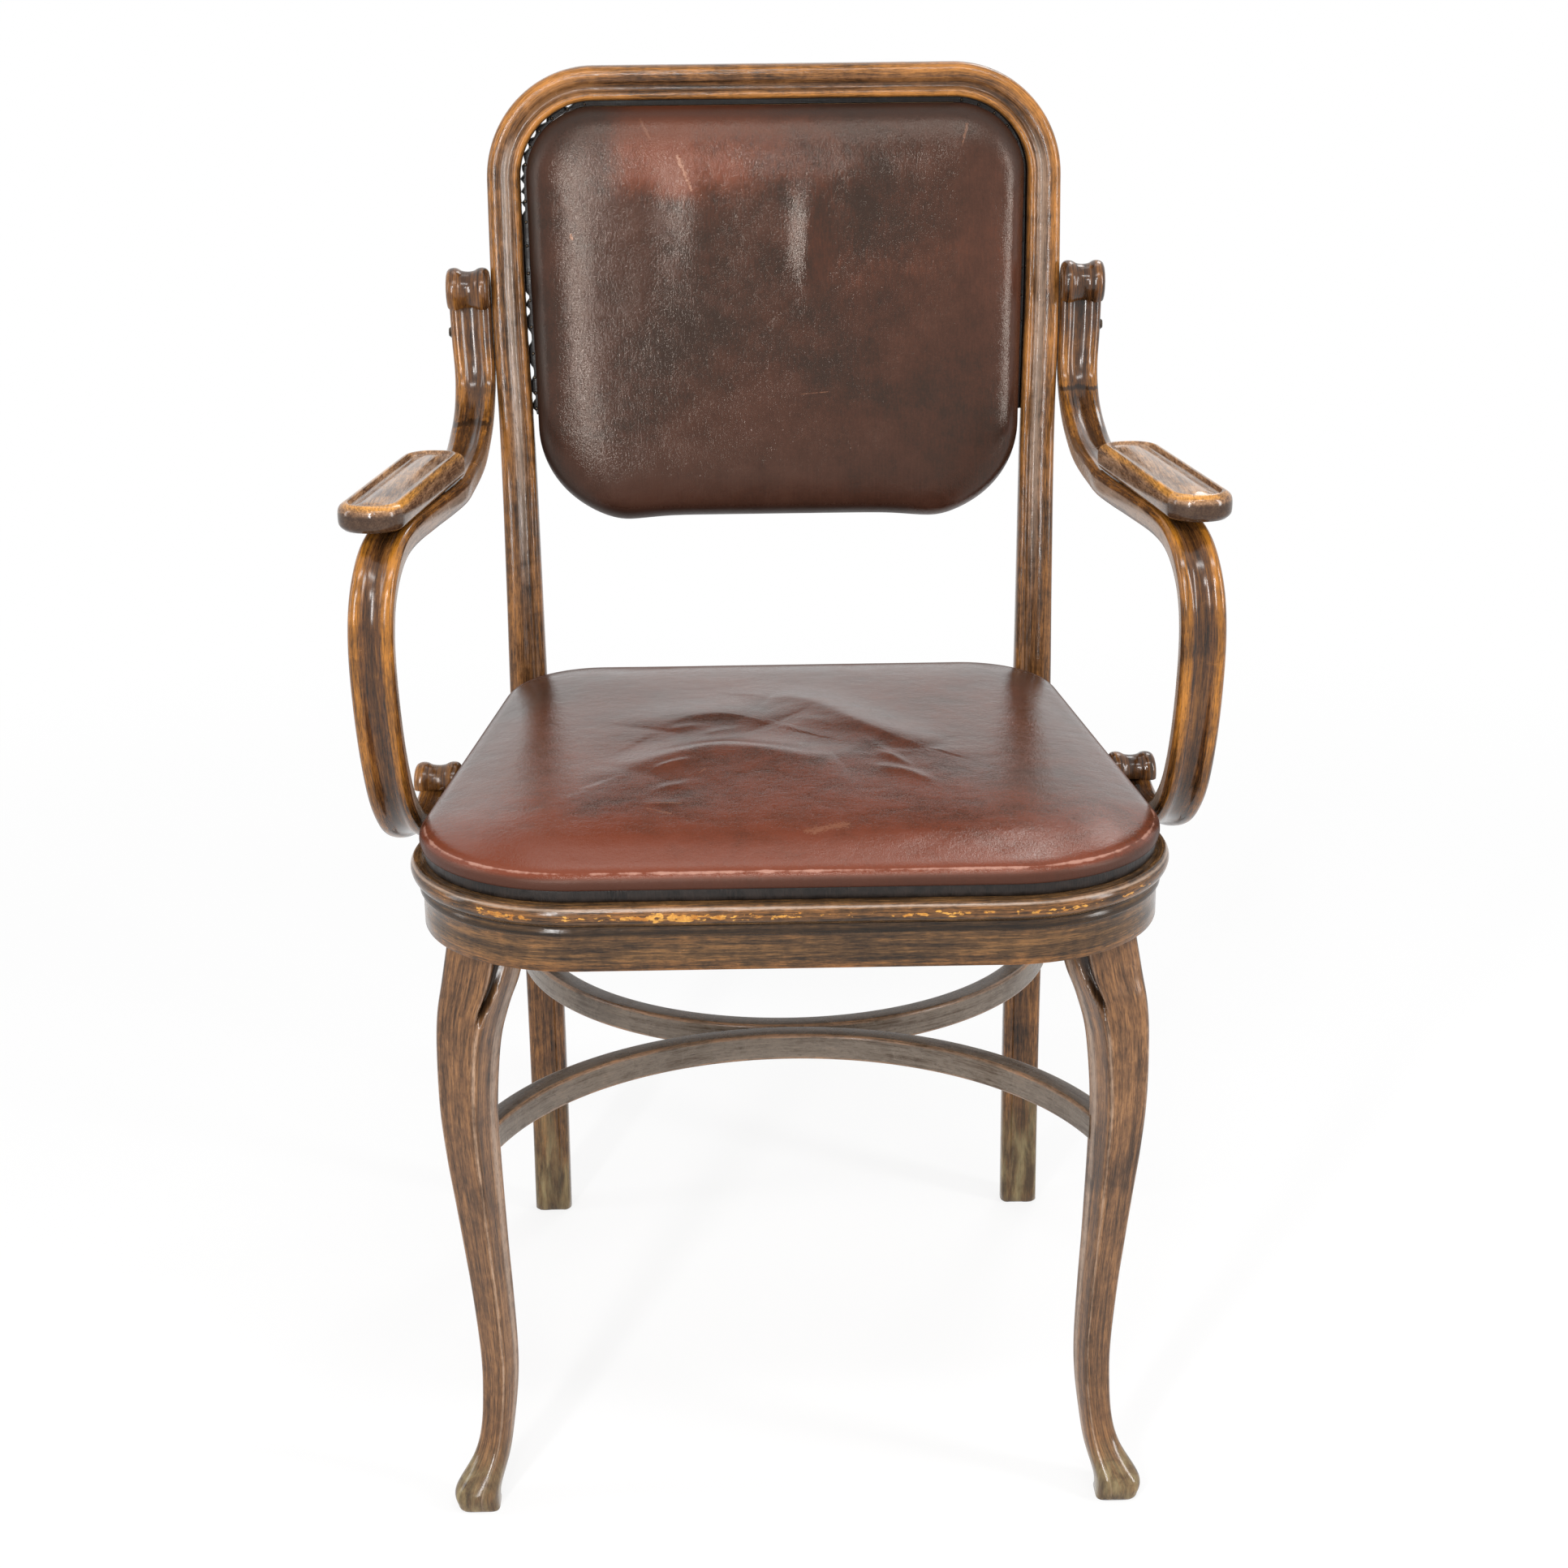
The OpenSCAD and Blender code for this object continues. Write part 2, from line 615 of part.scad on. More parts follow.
// Crown rows: inset from the leather edge and share of the crown, then shares of the plan
seat_rows = [
    [2, 0.01], [0.4, 0.08], [0, 0.16], [0.8, 0.24], [3.2, 0.33], [9, 0.44], [20, 0.58], [46, 0.8]
];
seat_inner = [[0.7, 0.92], [0.4, 0.98], [0.12, 1]];
module seat_cushion() {
    rows = concat(
        [for (r = seat_rows) [
            for (q = top_loop(pad_in + r[0])) [q[0], q[1], board_top + fit + seat_crown * r[1]]
        ]],
        [for (r = seat_inner) [
            for (q = top_loop(pad_in + 46)) [q[0] * r[0], q[1] * r[0], board_top + fit + seat_crown * r[1]]
        ]]
    );
    color(leather)
        skin(rows, flip = true);
}
module seat_edging() {
    color(dark)
        translate([0, 0, ring_top])
            linear_extrude(board_t)
                difference() {
                    polygon(top_loop(board_in - fit - edging_w));
                    polygon(top_loop(board_in - fit));
                }
}

// Back pad: points on the leaning plane, set back by q
function on_back(p, q) = [p[0], rod_back(p[1]) + q, p[1]];
module back_plate(inset, qa, qb) {
    skin([for (q = [qa, qb]) [for (p = pad_loop(inset)) on_back(p, q)]]);
}
module back_board() {
    color([0.55, 0.42, 0.28])
        back_plate(0.5, 1, 1 + back_t);
}
module back_rear_cover() {
    color(leather)
        back_plate(2, 1 + back_t, 3 + back_t);
}
back_rows = [
    [1.5, 0.01], [0.2, 0.12], [0, 0.27], [2, 0.46], [7, 0.64], [16, 0.78], [30, 0.88]
];
back_inner = [[0.82, 0.93], [0.58, 0.97], [0.3, 0.99], [0.1, 1]];
back_mid = [0, (pad_low_z + pad_top_z) / 2];
module back_cushion() {
    rows = concat(
        [for (r = back_rows) [for (p = pad_loop(r[0])) on_back(p, 1 - fit - back_crown * r[1])]],
        [for (r = back_inner) [
            for (p = pad_loop(30)) on_back(back_mid + (p - back_mid) * r[0], 1 - fit - back_crown * r[1])
        ]]
    );
    color(leather)
        skin(rows, flip = true);
}
// Ledge along the inner side of the rod, from the lower pad corners over the top
ledge_z = 694;
function rod_at(z) = let (c = [for (s = rod_side) if (s[2] == 0) s])
    [for (k = [0 : 4]) lookup(z, [for (s = c) [s[1], s[k]]])];
ledge_side = concat([rod_at(ledge_z)], [for (s = rod_side) if (s[1] > ledge_z + 5) s]);
function ledge_loop(s, side) = [
    for (p = [[fit + 0.1, 2], [fit + 0.1, 8], [fit + 0.1 + ledge_w, 8], [fit + 0.1 + ledge_w, 2]])
        rod_point(s, -s[3] - p[0], p[1], side)
];
module back_ledge() {
    n = len(ledge_side);
    color(dark)
        skin(concat(
            [for (i = [0 : n - 1]) ledge_loop(ledge_side[i], 1)],
            [for (i = [n - 1 : -1 : 0]) ledge_loop(ledge_side[i], -1)]
        ), flip = true);
}
function ledge_at(t) = let (k = min(floor(t), len(ledge_side) - 2))
    ledge_side[k] + (ledge_side[k + 1] - ledge_side[k]) * (t - k);
nail_spots = concat(
    [for (i = [0 : 9]) 0.15 + i * 0.38],
    [for (i = [1 : 6]) 3.57 + i * 1.6]
);
module back_nails() {
    color(dark)
        for (side = [-1, 1], t = nail_spots)
            let (s = ledge_at(t), p = rod_point(s, -s[3] - fit - 0.1 - ledge_w / 2, 2, side))
            translate(p)
                rotate([90 - lean, 0, 0])
                    cylinder(h = 1.4, r1 = 1.45, r2 = 0.7, $fn = 6);
}

// Corner blocks inside the ring above the front legs
leg_pin_x = toe_x - 28;
leg_pin_y = leg_y(toe_x - 28);
leg_pin_l = 24;
block_t = 26;
module corner_block(side) {
    mirror([side < 0 ? 1 : 0, 0, 0])
        color([0.50, 0.36, 0.22])
            translate([0, 0, ring_z])
                difference() {
                    linear_extrude(block_t)
                        intersection() {
                            translate([front_cx, front_cy])
                                circle(r = front_r - ring_t - fit, $fn = 72);
                            translate([front_cx + 22, front_cy - 22])
                                rotate(-45)
                                    translate([0, -60])
                                        square([80, 120]);
                        }
                    translate([leg_pin_x, leg_pin_y, -1])
                        cylinder(h = block_t + 2, r = 3.2, $fn = 24);
                }
}
module corner_block_left() {
    corner_block(-1);
}
module corner_block_right() {
    corner_block(1);
}
module corner_block_screws() {
    color(steel)
        for (side = [-1, 1])
            translate([side * leg_pin_x, leg_pin_y, ring_z - leg_pin_l])
                union() {
                    cylinder(h = leg_pin_l + block_t, r = 3, $fn = 24);
                    translate([0, 0, leg_pin_l + block_t])
                        cylinder(h = 3, r = 6, $fn = 24);
                }
}

// Bolts through the uprights into the rear ring corners
tie_out = tie_r + 0.74 * (rod_low * cos(tie_a) + rod_deep * sin(tie_a)) + 0.45;
tie_in = rear_r - ring_t;
module frame_bolts() {
    color(steel)
        for (side = [-1, 1])
            along_tie(side)
                union() {
                    translate([0, 0, tie_in - 12])
                        cylinder(h = tie_out - tie_in + 12.1, r = 3, $fn = 24);
                    translate([0, 0, tie_out])
                        cylinder(h = 3.5, r1 = 9, r2 = 5, $fn = 32);
                }
}
module frame_bolt_nuts() {
    color(steel)
        for (side = [-1, 1])
            along_tie(side)
                translate([0, 0, tie_in - 8])
                    difference() {
                        cylinder(h = 6, r = 6.5, $fn = 6);
                        translate([0, 0, -1])
                            cylinder(h = 8, r = 3.15, $fn = 24);
                    }
}

// Screws that hold the strip to the uprights, and the bolts that hold it to the ring
arm_face_x = beside_rod(arm_top_z) + 2 * arm_w * arm_flare(arm_top_z) + 0.2;
module arm_top_screws() {
    color(steel)
        for (side = [-1, 1])
            translate([side * (seat_x + 4), arm_top_y, arm_top_z])
                rotate([0, side * 90, 0])
                    union() {
                        cylinder(h = arm_face_x - seat_x - 4, r = 2, $fn = 20);
                        translate([0, 0, arm_face_x - seat_x - 4])
                            cylinder(h = 1.8, r1 = 4.5, r2 = 3, $fn = 24);
                    }
}
bolt_out = 2 * arm_w + fit + 0.2;
module arm_bottom_bolts() {
    color(steel)
        for (side = [-1, 1])
            along_arm_bolt(side)
                union() {
                    translate([0, 0, -ring_t - 9])
                        cylinder(h = bolt_out + ring_t + 9.1, r = 2.5, $fn = 24);
                    translate([0, 0, bolt_out])
                        cylinder(h = 2.4, r1 = 6, r2 = 3.5, $fn = 24);
                }
}
module arm_bottom_nuts() {
    color(steel)
        for (side = [-1, 1])
            along_arm_bolt(side)
                translate([0, 0, -ring_t - 5])
                    difference() {
                        cylinder(h = 4.8, r = 5, $fn = 6);
                        translate([0, 0, -1])
                            cylinder(h = 7, r = 2.65, $fn = 24);
                    }
}
// Wooden collars that keep the strip clear of the apron
spacer_r = 7;
module arm_spacers() {
    color(wood)
        for (side = [-1, 1])
            along_arm_bolt(side)
                translate([0, 0, -bead_out])
                    difference() {
                        cylinder(h = bead_out + fit - 0.1, r = spacer_r, $fn = 32);
                        translate([0, 0, -1])
                            cylinder(h = bead_out + 3, r = 2.7, $fn = 24);
                    }
}
module armrest_screws() {
    color(steel)
        for (side = [-1, 1], p = rest_pins)
            translate([side * p[0], p[1], arm_z - arm_t + arm_hollow - 3.3])
                union() {
                    cylinder(h = 2, r1 = 3, r2 = 4.2, $fn = 20);
                    cylinder(h = 2 * arm_t - arm_hollow + 12.3, r = 2, $fn = 20);
                }
}

// Dowels in the stretcher ends and the screw where the two bows meet
module stretcher_dowels() {
    color([0.60, 0.45, 0.28])
        for (side = [-1, 1]) {
            translate([side * rear_end_x, rod_back(stretcher_mid) - rod_deep - 11, stretcher_mid])
                rotate([-90, 0, 0])
                    cylinder(h = 22, r = 4, $fn = 24);
            mirror([side < 0 ? 1 : 0, 0, 0])
                front_dowel();
        }
}
module front_dowel() {
    translate([joint_x, joint_y, stretcher_mid])
        rotate([0, 0, joint_a - 90])
            rotate([0, 90, 0])
                translate([0, 0, -11])
                    cylinder(h = 22, r = 4, $fn = 24);
}
module stretcher_screw() {
    color(steel)
        translate([0, bows_y + fit + stretcher_t + 0.2, stretcher_mid])
            rotate([90, 0, 0])
                union() {
                    cylinder(h = 2 * stretcher_t - 4, r = 2, $fn = 24);
                    translate([0, 0, -2])
                        cylinder(h = 2, r1 = 2.8, r2 = 4.5, $fn = 32);
                }
}
pin_in = 22;
pin_deep = 14;
board_pins = [
    for (side = [-1, 1], p = [
        [front_cx - 2, front_cy - front_r + pin_in],
        [bead_x(20) - pin_in, 20],
        [rear_cx - 61, rear_cy + rear_r - pin_in]
    ]) [side * p[0], p[1]]
];
module seat_board_screws() {
    color(steel)
        for (p = board_pins)
            translate([p[0], p[1], ring_top - pin_deep])
                cylinder(h = pin_deep + board_t, r = 2, $fn = 20);
}

back_frame();
seat_ring();
front_leg_left();
front_leg_right();
front_stretcher();
rear_stretcher();
arm_left();
arm_right();
armrest_left();
armrest_right();
seat_board();
seat_cushion();
seat_edging();
back_board();
back_cushion();
back_rear_cover();
back_ledge();
back_nails();
corner_block_left();
corner_block_right();
corner_block_screws();
frame_bolts();
frame_bolt_nuts();
arm_top_screws();
arm_bottom_bolts();
arm_bottom_nuts();
arm_spacers();
armrest_screws();
stretcher_dowels();
stretcher_screw();
seat_board_screws();
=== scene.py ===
"""Looks of the bentwood armchair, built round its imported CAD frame. Sizes are in millimetres until a mesh is made."""
import math

import bpy
import numpy as np
from mathutils import Matrix, Vector


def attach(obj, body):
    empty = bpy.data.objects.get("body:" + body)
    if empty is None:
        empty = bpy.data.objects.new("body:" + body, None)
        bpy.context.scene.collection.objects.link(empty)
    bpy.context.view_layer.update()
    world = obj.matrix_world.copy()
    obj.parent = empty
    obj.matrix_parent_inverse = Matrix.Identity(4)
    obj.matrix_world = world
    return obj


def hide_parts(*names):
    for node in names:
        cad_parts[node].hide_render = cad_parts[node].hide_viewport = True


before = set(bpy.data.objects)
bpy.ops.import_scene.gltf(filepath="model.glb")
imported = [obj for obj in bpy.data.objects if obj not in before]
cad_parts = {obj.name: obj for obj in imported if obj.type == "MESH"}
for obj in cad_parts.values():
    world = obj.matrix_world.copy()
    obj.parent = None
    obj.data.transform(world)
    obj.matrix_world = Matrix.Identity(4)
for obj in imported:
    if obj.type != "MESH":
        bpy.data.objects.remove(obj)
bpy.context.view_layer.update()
MM = 0.001

# Sizes of the chair, as in the part's own source. Corners are given as x, y or z, and radius
FIT = 0.3
RAIL_Z, CORNER_R, TOP_X = 948.8, 72.0, 213.5
ROD_Y, FOOT_SPLAY, SPLAY_TOP, LEAN_FROM, LEAN_TO = 202.6, 12.5, 300.0, 430.0, 610.0
LEAN = math.tan(math.radians(9.6))
CORNER_WIDE, CORNER_THICK, ROD_THICK, FOOT_EDGE = 13.2, 12.5, 13.5, 1.6
RING_Z, RING_H, RING_T, BEAD_OUT, FILLET = 422.0, 48.0, 36.0, 8.0, 2.5
RING_TOP = RING_Z + RING_H
BOARD_TOP = RING_TOP + 10
FRONT, REAR, SEAT_REAR = (142.0, -170.0, 118.0), (151.0, 141.0, 70.0), (143.0, 133.0, 82.5)
TOE_X, TOE_Y, LEG_HALF = 226.49, -241.99, 0.507
STRETCHER_Z, STRETCHER_H, STRETCHER_T = 272.0, 20.0, 17.0
ARM_Z, ARM_W, ARM_T, ARM_HOLLOW, ARM_FRONT = 680.0, 15.5, 9.0, 2.8, -171.0
REST_L, REST_W, REST_T, REST_CHANNEL = 198.0, 23.0, 18.0, 2.6
REST_X, REST_Y, REST_SPLAY = 265.5, -64.0, math.radians(8.5)
PAD_LOW, PAD_TOP, PAD_MIDDLE = (118.5, 688.0, 72.0), (141.5, 877.3, 54.0), np.array([0, 773.65])
SEAT_CROWN, BACK_CROWN, BACK_T, BOARD_BACK = 22.0, 30.0, 8.0, 1.0
AROUND = 360


# ---- shapes

def curve(points, steps, closed=False):
    """Smooth curve through a row of points, with steps pieces between each two."""
    p = np.asarray(points, float)
    n = len(p)
    out = []
    for i in range(n if closed else n - 1):
        near = [(i + k) % n if closed else min(max(i + k, 0), n - 1) for k in (-1, 0, 1, 2)]
        a, b, c, d = p[near]
        for t in np.arange(steps) / steps:
            out.append(0.5 * (2 * b + (c - a) * t + (2 * a - 5 * b + 4 * c - d) * t ** 2
                              + (3 * b - a - 3 * c + d) * t ** 3))
    if not closed:
        out.append(p[-1])
    return np.array(out)


def even(loop, count):
    """The closed loop with count points at equal distances."""
    p = np.vstack([loop, loop[:1]])
    along = np.r_[0, np.cumsum(np.linalg.norm(np.diff(p, axis=0), axis=1))]
    at = np.linspace(0, along[-1], count, endpoint=False)
    return np.stack([np.interp(at, along, p[:, k]) for k in range(p.shape[1])], 1)


def arc(x, y, r, angles):
    return np.stack([x + r * np.cos(angles), y + r * np.sin(angles)], 1)


def side_angle(low, high):
    """Angle at which the straight side touches both of its corners."""
    dx, dy = high[0] - low[0], high[1] - low[1]
    return math.atan2(dy, dx) - math.acos((low[2] - high[2]) / math.hypot(dx, dy))


def round_loop(low, high, inset, count=0, detail=40):
    """Outline with four round corners, symmetric about the middle."""
    turn = side_angle(low, high)
    half = np.vstack([arc(x, y, r - inset, np.linspace(a, b, detail))
                      for (x, y, r), a, b in ((low, -math.pi / 2, turn), (high, turn, math.pi / 2))])
    loop = np.vstack([half, half[::-1] * [-1, 1]])
    return even(loop, count) if count else loop


def bell(x, middle, width):
    return np.exp(-((np.asarray(x, float) - middle) / width) ** 2)


def step(x, low, high):
    t = np.clip((np.asarray(x, float) - low) / (high - low), 0, 1)
    return t * t * (3 - 2 * t)


def swept(corners):
    """Six times the volume between the origin and faces with these corners."""
    return sum(np.einsum("ij,ij->", corners[:, 0], np.cross(corners[:, a], corners[:, a + 1]))
               for a in range(1, corners.shape[1] - 1))


def piece(name, rows, material, nodes, paint=None, round_trip=False, grain="rows", shift=0.0,
          sharp=48):
    """A closed surface over rows of equal loops, with a map in metres along the grain and across it."""
    rows = np.asarray(rows, float) * MM
    m, k, _ = rows.shape
    points = rows.reshape(-1, 3)
    i, j = np.meshgrid(np.arange(m if round_trip else m - 1), np.arange(k), indexing="ij")
    turns = ((0, 0), (0, 1), (1, 1), (1, 0))
    quads = np.stack([(i + a) % m * k + (j + b) % k for a, b in turns], -1).reshape(-1, 4)
    down, side = (np.r_[0, np.cumsum(np.linalg.norm(rows - np.roll(rows, -1, axis), axis=2).mean(1 - axis))]
                  for axis in (0, 1))
    maps = np.stack([np.stack([down[i + a], side[j + b]], -1) for a, b in turns], -2).reshape(-1, 4, 2)
    volume = swept(points[quads])
    faces, maps = quads.tolist(), maps.tolist()
    if not round_trip:
        points = np.vstack([points, rows[0].mean(0), rows[-1].mean(0)])
        here, after = np.arange(k), np.roll(np.arange(k), -1)
        caps = np.stack([np.stack([0 * here + m * k, after, here], 1),
                         np.stack([0 * here + m * k + 1, (m - 1) * k + here, (m - 1) * k + after], 1)], 1)
        cap_maps = (points[caps] - points[caps[..., :1]])[..., :2] + [[[0]], [[down[m - 1]]]]
        faces += caps.reshape(-1, 3).tolist()
        maps += cap_maps.reshape(-1, 3, 2).tolist()
        volume += swept(points[caps.reshape(-1, 3)])
    if volume < 0:
        faces = [f[::-1] for f in faces]
        maps = [c[::-1] for c in maps]
    mesh = bpy.data.meshes.new(name)
    mesh.from_pydata(points.tolist(), [], faces)
    uv = mesh.uv_layers.new(name="grain")
    flat = np.array([c for f in maps for c in f], np.float32)
    if grain == "cols":
        flat = flat[:, ::-1]
    uv.data.foreach_set("uv", (flat + [shift, shift * 0.37]).astype(np.float32).ravel())
    for key, values in (paint or {}).items():
        full = np.zeros(len(points), np.float32)
        full[:m * k] = np.broadcast_to(values, (m, k)).ravel()
        if not round_trip:
            full[m * k:] = full[0], full[m * k - 1]
        mesh.attributes.new(key, "FLOAT", "POINT").data.foreach_set("value", full)
    mesh.shade_smooth()
    mesh.set_sharp_from_angle(angle=math.radians(sharp))
    mesh.materials.append(material)
    made = bpy.data.objects.new(name, mesh)
    bpy.context.scene.collection.objects.link(made)
    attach(made, "root")
    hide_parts(*nodes)
    return made


# ---- materials

class Graph:
    """The node tree of a material or a world, with short names for the nodes it is made of."""

    def __init__(self, name, world=False):
        self.owner = (bpy.data.worlds if world else bpy.data.materials).new(name)
        self.owner.use_nodes = True
        self.tree = self.owner.node_tree
        self.shader = self.tree.nodes.get("Principled BSDF")

    def node(self, kind, inputs=None, **settings):
        n = self.tree.nodes.new(kind)
        for key, value in settings.items():
            setattr(n, key, value)
        for key, value in (inputs or {}).items():
            self.put(n.inputs[key], value)
        return n

    def put(self, socket, value):
        if isinstance(value, bpy.types.NodeSocket):
            self.tree.links.new(value, socket)
        else:
            socket.default_value = value

    def sum(self, kind, a, b=0.0, clamp=False):
        return self.node("ShaderNodeMath", {0: a, 1: b}, operation=kind, use_clamp=clamp).outputs[0]

    def vector(self, kind, a, b, out=0):
        return self.node("ShaderNodeVectorMath", {0: a, 1: b}, operation=kind).outputs[out]

    def total(self, *parts, about=0.5):
        """The parts added up, each less about and times its own share."""
        out = None
        for value, share in parts:
            if about:
                value = self.sum("SUBTRACT", value, about)
            value = self.sum("MULTIPLY", value, share)
            out = self.sum("ADD", out, value) if out else value
        return out

    def step(self, value, low, high, to_low=0.0, to_high=1.0):
        return self.node("ShaderNodeMapRange", {0: value, 1: low, 2: high, 3: to_low, 4: to_high},
                         interpolation_type="SMOOTHSTEP").outputs[0]

    def scaled(self, vector, scale, move=(0, 0, 0)):
        return self.node("ShaderNodeMapping", {"Vector": vector, "Scale": scale, "Location": move}).outputs[0]

    def noise(self, vector, scale=1.0, detail=4.0, rough=0.55, bend=0.0):
        return self.node("ShaderNodeTexNoise", {"Vector": vector, "Scale": scale, "Detail": detail,
                                                "Roughness": rough, "Distortion": bend}).outputs[0]

    def ramp(self, value, stops):
        n = self.node("ShaderNodeValToRGB", {0: value})
        e = n.color_ramp.elements
        while len(e) < len(stops):
            e.new(0.5)
        for spot, (at, colour) in zip(e, stops):
            spot.position = at
            spot.color = (*colour, 1)
        return n.outputs[0]

    def mix(self, share, a, b):
        a, b = ((*c, 1) if isinstance(c, tuple) and len(c) == 3 else c for c in (a, b))
        return self.node("ShaderNodeMix", {0: share, 6: a, 7: b}, data_type="RGBA").outputs[2]

    def bump(self, *layers):
        normal = None
        for height, distance in layers:
            n = self.node("ShaderNodeBump", {"Height": height, "Distance": distance, "Strength": 1.0})
            if normal:
                self.put(n.inputs["Normal"], normal)
            normal = n.outputs[0]
        self.put(self.shader.inputs["Normal"], normal)

    def wear(self, name="wear"):
        return self.node("ShaderNodeAttribute", attribute_name=name).outputs["Fac"]

    def place(self):
        return self.node("ShaderNodeTexCoord").outputs["Object"]

    def finish(self, colour, roughness, **fixed):
        self.put(self.shader.inputs["Base Color"], colour)
        self.put(self.shader.inputs["Roughness"], roughness)
        for key, value in fixed.items():
            self.shader.inputs[key.replace("_", " ")].default_value = value
        return self.owner


def tone(r, g, b):
    """A colour written as it shows on screen, in linear light."""
    return tuple(((c / 255 + 0.055) / 1.055) ** 2.4 if c > 10 else c / 255 / 12.92 for c in (r, g, b))


def shade(colour, share):
    return tuple(share * c for c in colour)


CHIP = [(0.4, tone(168, 106, 38)), (0.6, tone(210, 154, 70))]
GRIME = [(0.38, tone(66, 55, 38)), (0.5, tone(116, 101, 70)), (0.62, tone(150, 137, 99))]
# PALE_SHEEN is the colour of a painted sheen, where a surface would catch the room's light
PALE_SHEEN, RUBS_AND_HIGHLIGHT, SCRATCH = tone(172, 150, 132), tone(176, 132, 116), tone(150, 104, 80)
SPLICE_LEFT, SPLICE_RIGHT, SPLICE_Y = 0.697, 0.713, 0.17


def wood(name, deep, body, light, worn, chips=0.0, gloss=0.18, shine=0.3, feet=0.0, sawn=False, scar=False,
         relief=1.0):
    """Stained and varnished beech: streaks along the grain, flecks, worn golden ridges and painted shade in hollows.

    The painted wear says where it is rubbed, and below 0 where it is darker: painted shade in hollows, grooves and on
    the sides of the armrests, and a darker rear on the rod and top on the stretchers. The painted pale says where a
    painted pale sheen and highlights lie, and chip where it is chipped. A scar is the splice line of an arm strip,
    and feet the height up to which dirt dulls it.
    """
    g = Graph(name)
    at = g.place()
    x, y, z = g.node("ShaderNodeSeparateXYZ", {0: at}).outputs
    if sawn:
        way = g.sum("ADD", y, g.sum("MULTIPLY", g.sum("ABSOLUTE", x), math.tan(REST_SPLAY)))
        along = g.node("ShaderNodeCombineXYZ", {0: way, 1: x, 2: z}).outputs[0]
    else:
        along = g.node("ShaderNodeUVMap", uv_map="grain").outputs[0]
    streak = g.noise(g.scaled(along, (9, 230, 230)), detail=6, rough=0.6, bend=0.3)
    thin = g.noise(g.scaled(along, (34, 680, 680), (1, 4, 0)), detail=4, rough=0.6, bend=0.2)
    fine = g.noise(g.scaled(along, (110, 1500, 1500), (3, 7, 0)), detail=3, rough=0.6)
    fleck = g.noise(g.scaled(along, (190, 1300, 1300), (9, 2, 0)), detail=1.5, rough=0.5)
    blotch = g.noise(at, 13, detail=5, rough=0.65, bend=0.4)
    patch = g.noise(at, 75, detail=5, rough=0.7, bend=0.5)
    mixed = g.total((streak, 0.26), (blotch, 0.2), (patch, 0.12), (thin, 0.22), (fine, 0.2), about=0)
    colour = g.ramp(mixed, [(0.43, deep), (0.5, body), (0.57, light)])
    wear = g.wear()
    rub = g.total((patch, 0.5), (streak, 0.4), (thin, 0.5), (fine, 0.4), (blotch, 0.6))
    rub = g.sum("ADD", wear, rub)
    bare = g.ramp(g.total((thin, 0.3), (fine, 0.3), (blotch, 0.4), about=0),
                  [(0.43, shade(worn, 0.5)), (0.5, worn), (0.57, shade(worn, 1.4))])
    colour = g.mix(g.step(rub, 0.0, 0.95, 0.0, 0.92), colour, bare)
    if scar:
        line = g.sum("SUBTRACT", z, g.step(x, -0.1, 0.1, SPLICE_LEFT, SPLICE_RIGHT))
        line = g.sum("ABSOLUTE", g.sum("ADD", line, g.total((patch, 0.006), (thin, 0.004))))
        line = g.sum("MULTIPLY", g.step(line, 0.0022, 0.0008), g.step(y, SPLICE_Y, SPLICE_Y + 0.01))
        colour = g.mix(g.sum("MULTIPLY", line, 0.8), colour, shade(deep, 0.4))
    if chips:
        crumb = g.noise(g.scaled(along, (140, 330, 1)), detail=4, rough=0.62)
        where = g.total((crumb, 1.3), (blotch, 1.2))
        where = g.step(g.sum("ADD", where, g.wear("chip")), 0.84, 0.88)
        colour = g.mix(g.sum("MULTIPLY", where, chips), colour, g.ramp(patch, CHIP))
    # Painted sheen: a pale, milky tone where the painted pale asks for it, and in small random patches
    sheen = g.sum("ADD", g.wear("pale"), g.total((thin, 0.7), (patch, 0.5), (blotch, 0.6)))
    colour = g.mix(g.step(sheen, 0.15, 1.0, 0.0, 0.7), colour, PALE_SHEEN)
    # Below 0, wear darkens towards a deep brown: mostly painted shade in hollows, grooves and turned-away faces
    dark = g.step(g.sum("MULTIPLY", wear, -1.0), 0.0, 1.0, 0.0, 0.85)
    colour = g.mix(dark, colour, shade(deep, 0.3))
    colour = g.mix(g.step(fleck, 0.58, 0.68, 0.0, 0.4), colour, shade(deep, 0.3))
    if feet:
        edge = g.sum("ADD", z, g.total((blotch, 0.12)))
        grime = g.ramp(g.noise(g.scaled(at, (110, 110, 22)), detail=6, rough=0.6, bend=0.3), GRIME)
        colour = g.mix(g.step(edge, feet, feet * 0.1, 0.0, 0.66), colour, grime)
    rough = g.sum("ADD", gloss, g.total((blotch, 0.2)))
    rough = g.sum("ADD", rough, g.step(patch, 0.48, 0.7, 0.0, 0.12), clamp=True)
    g.bump((thin, 0.00012 * relief), (g.sum("SUBTRACT", fine, fleck), 0.00007 * relief), (patch, 0.00022 * relief))
    return g.finish(colour, rough, Specular_IOR_Level=shine)


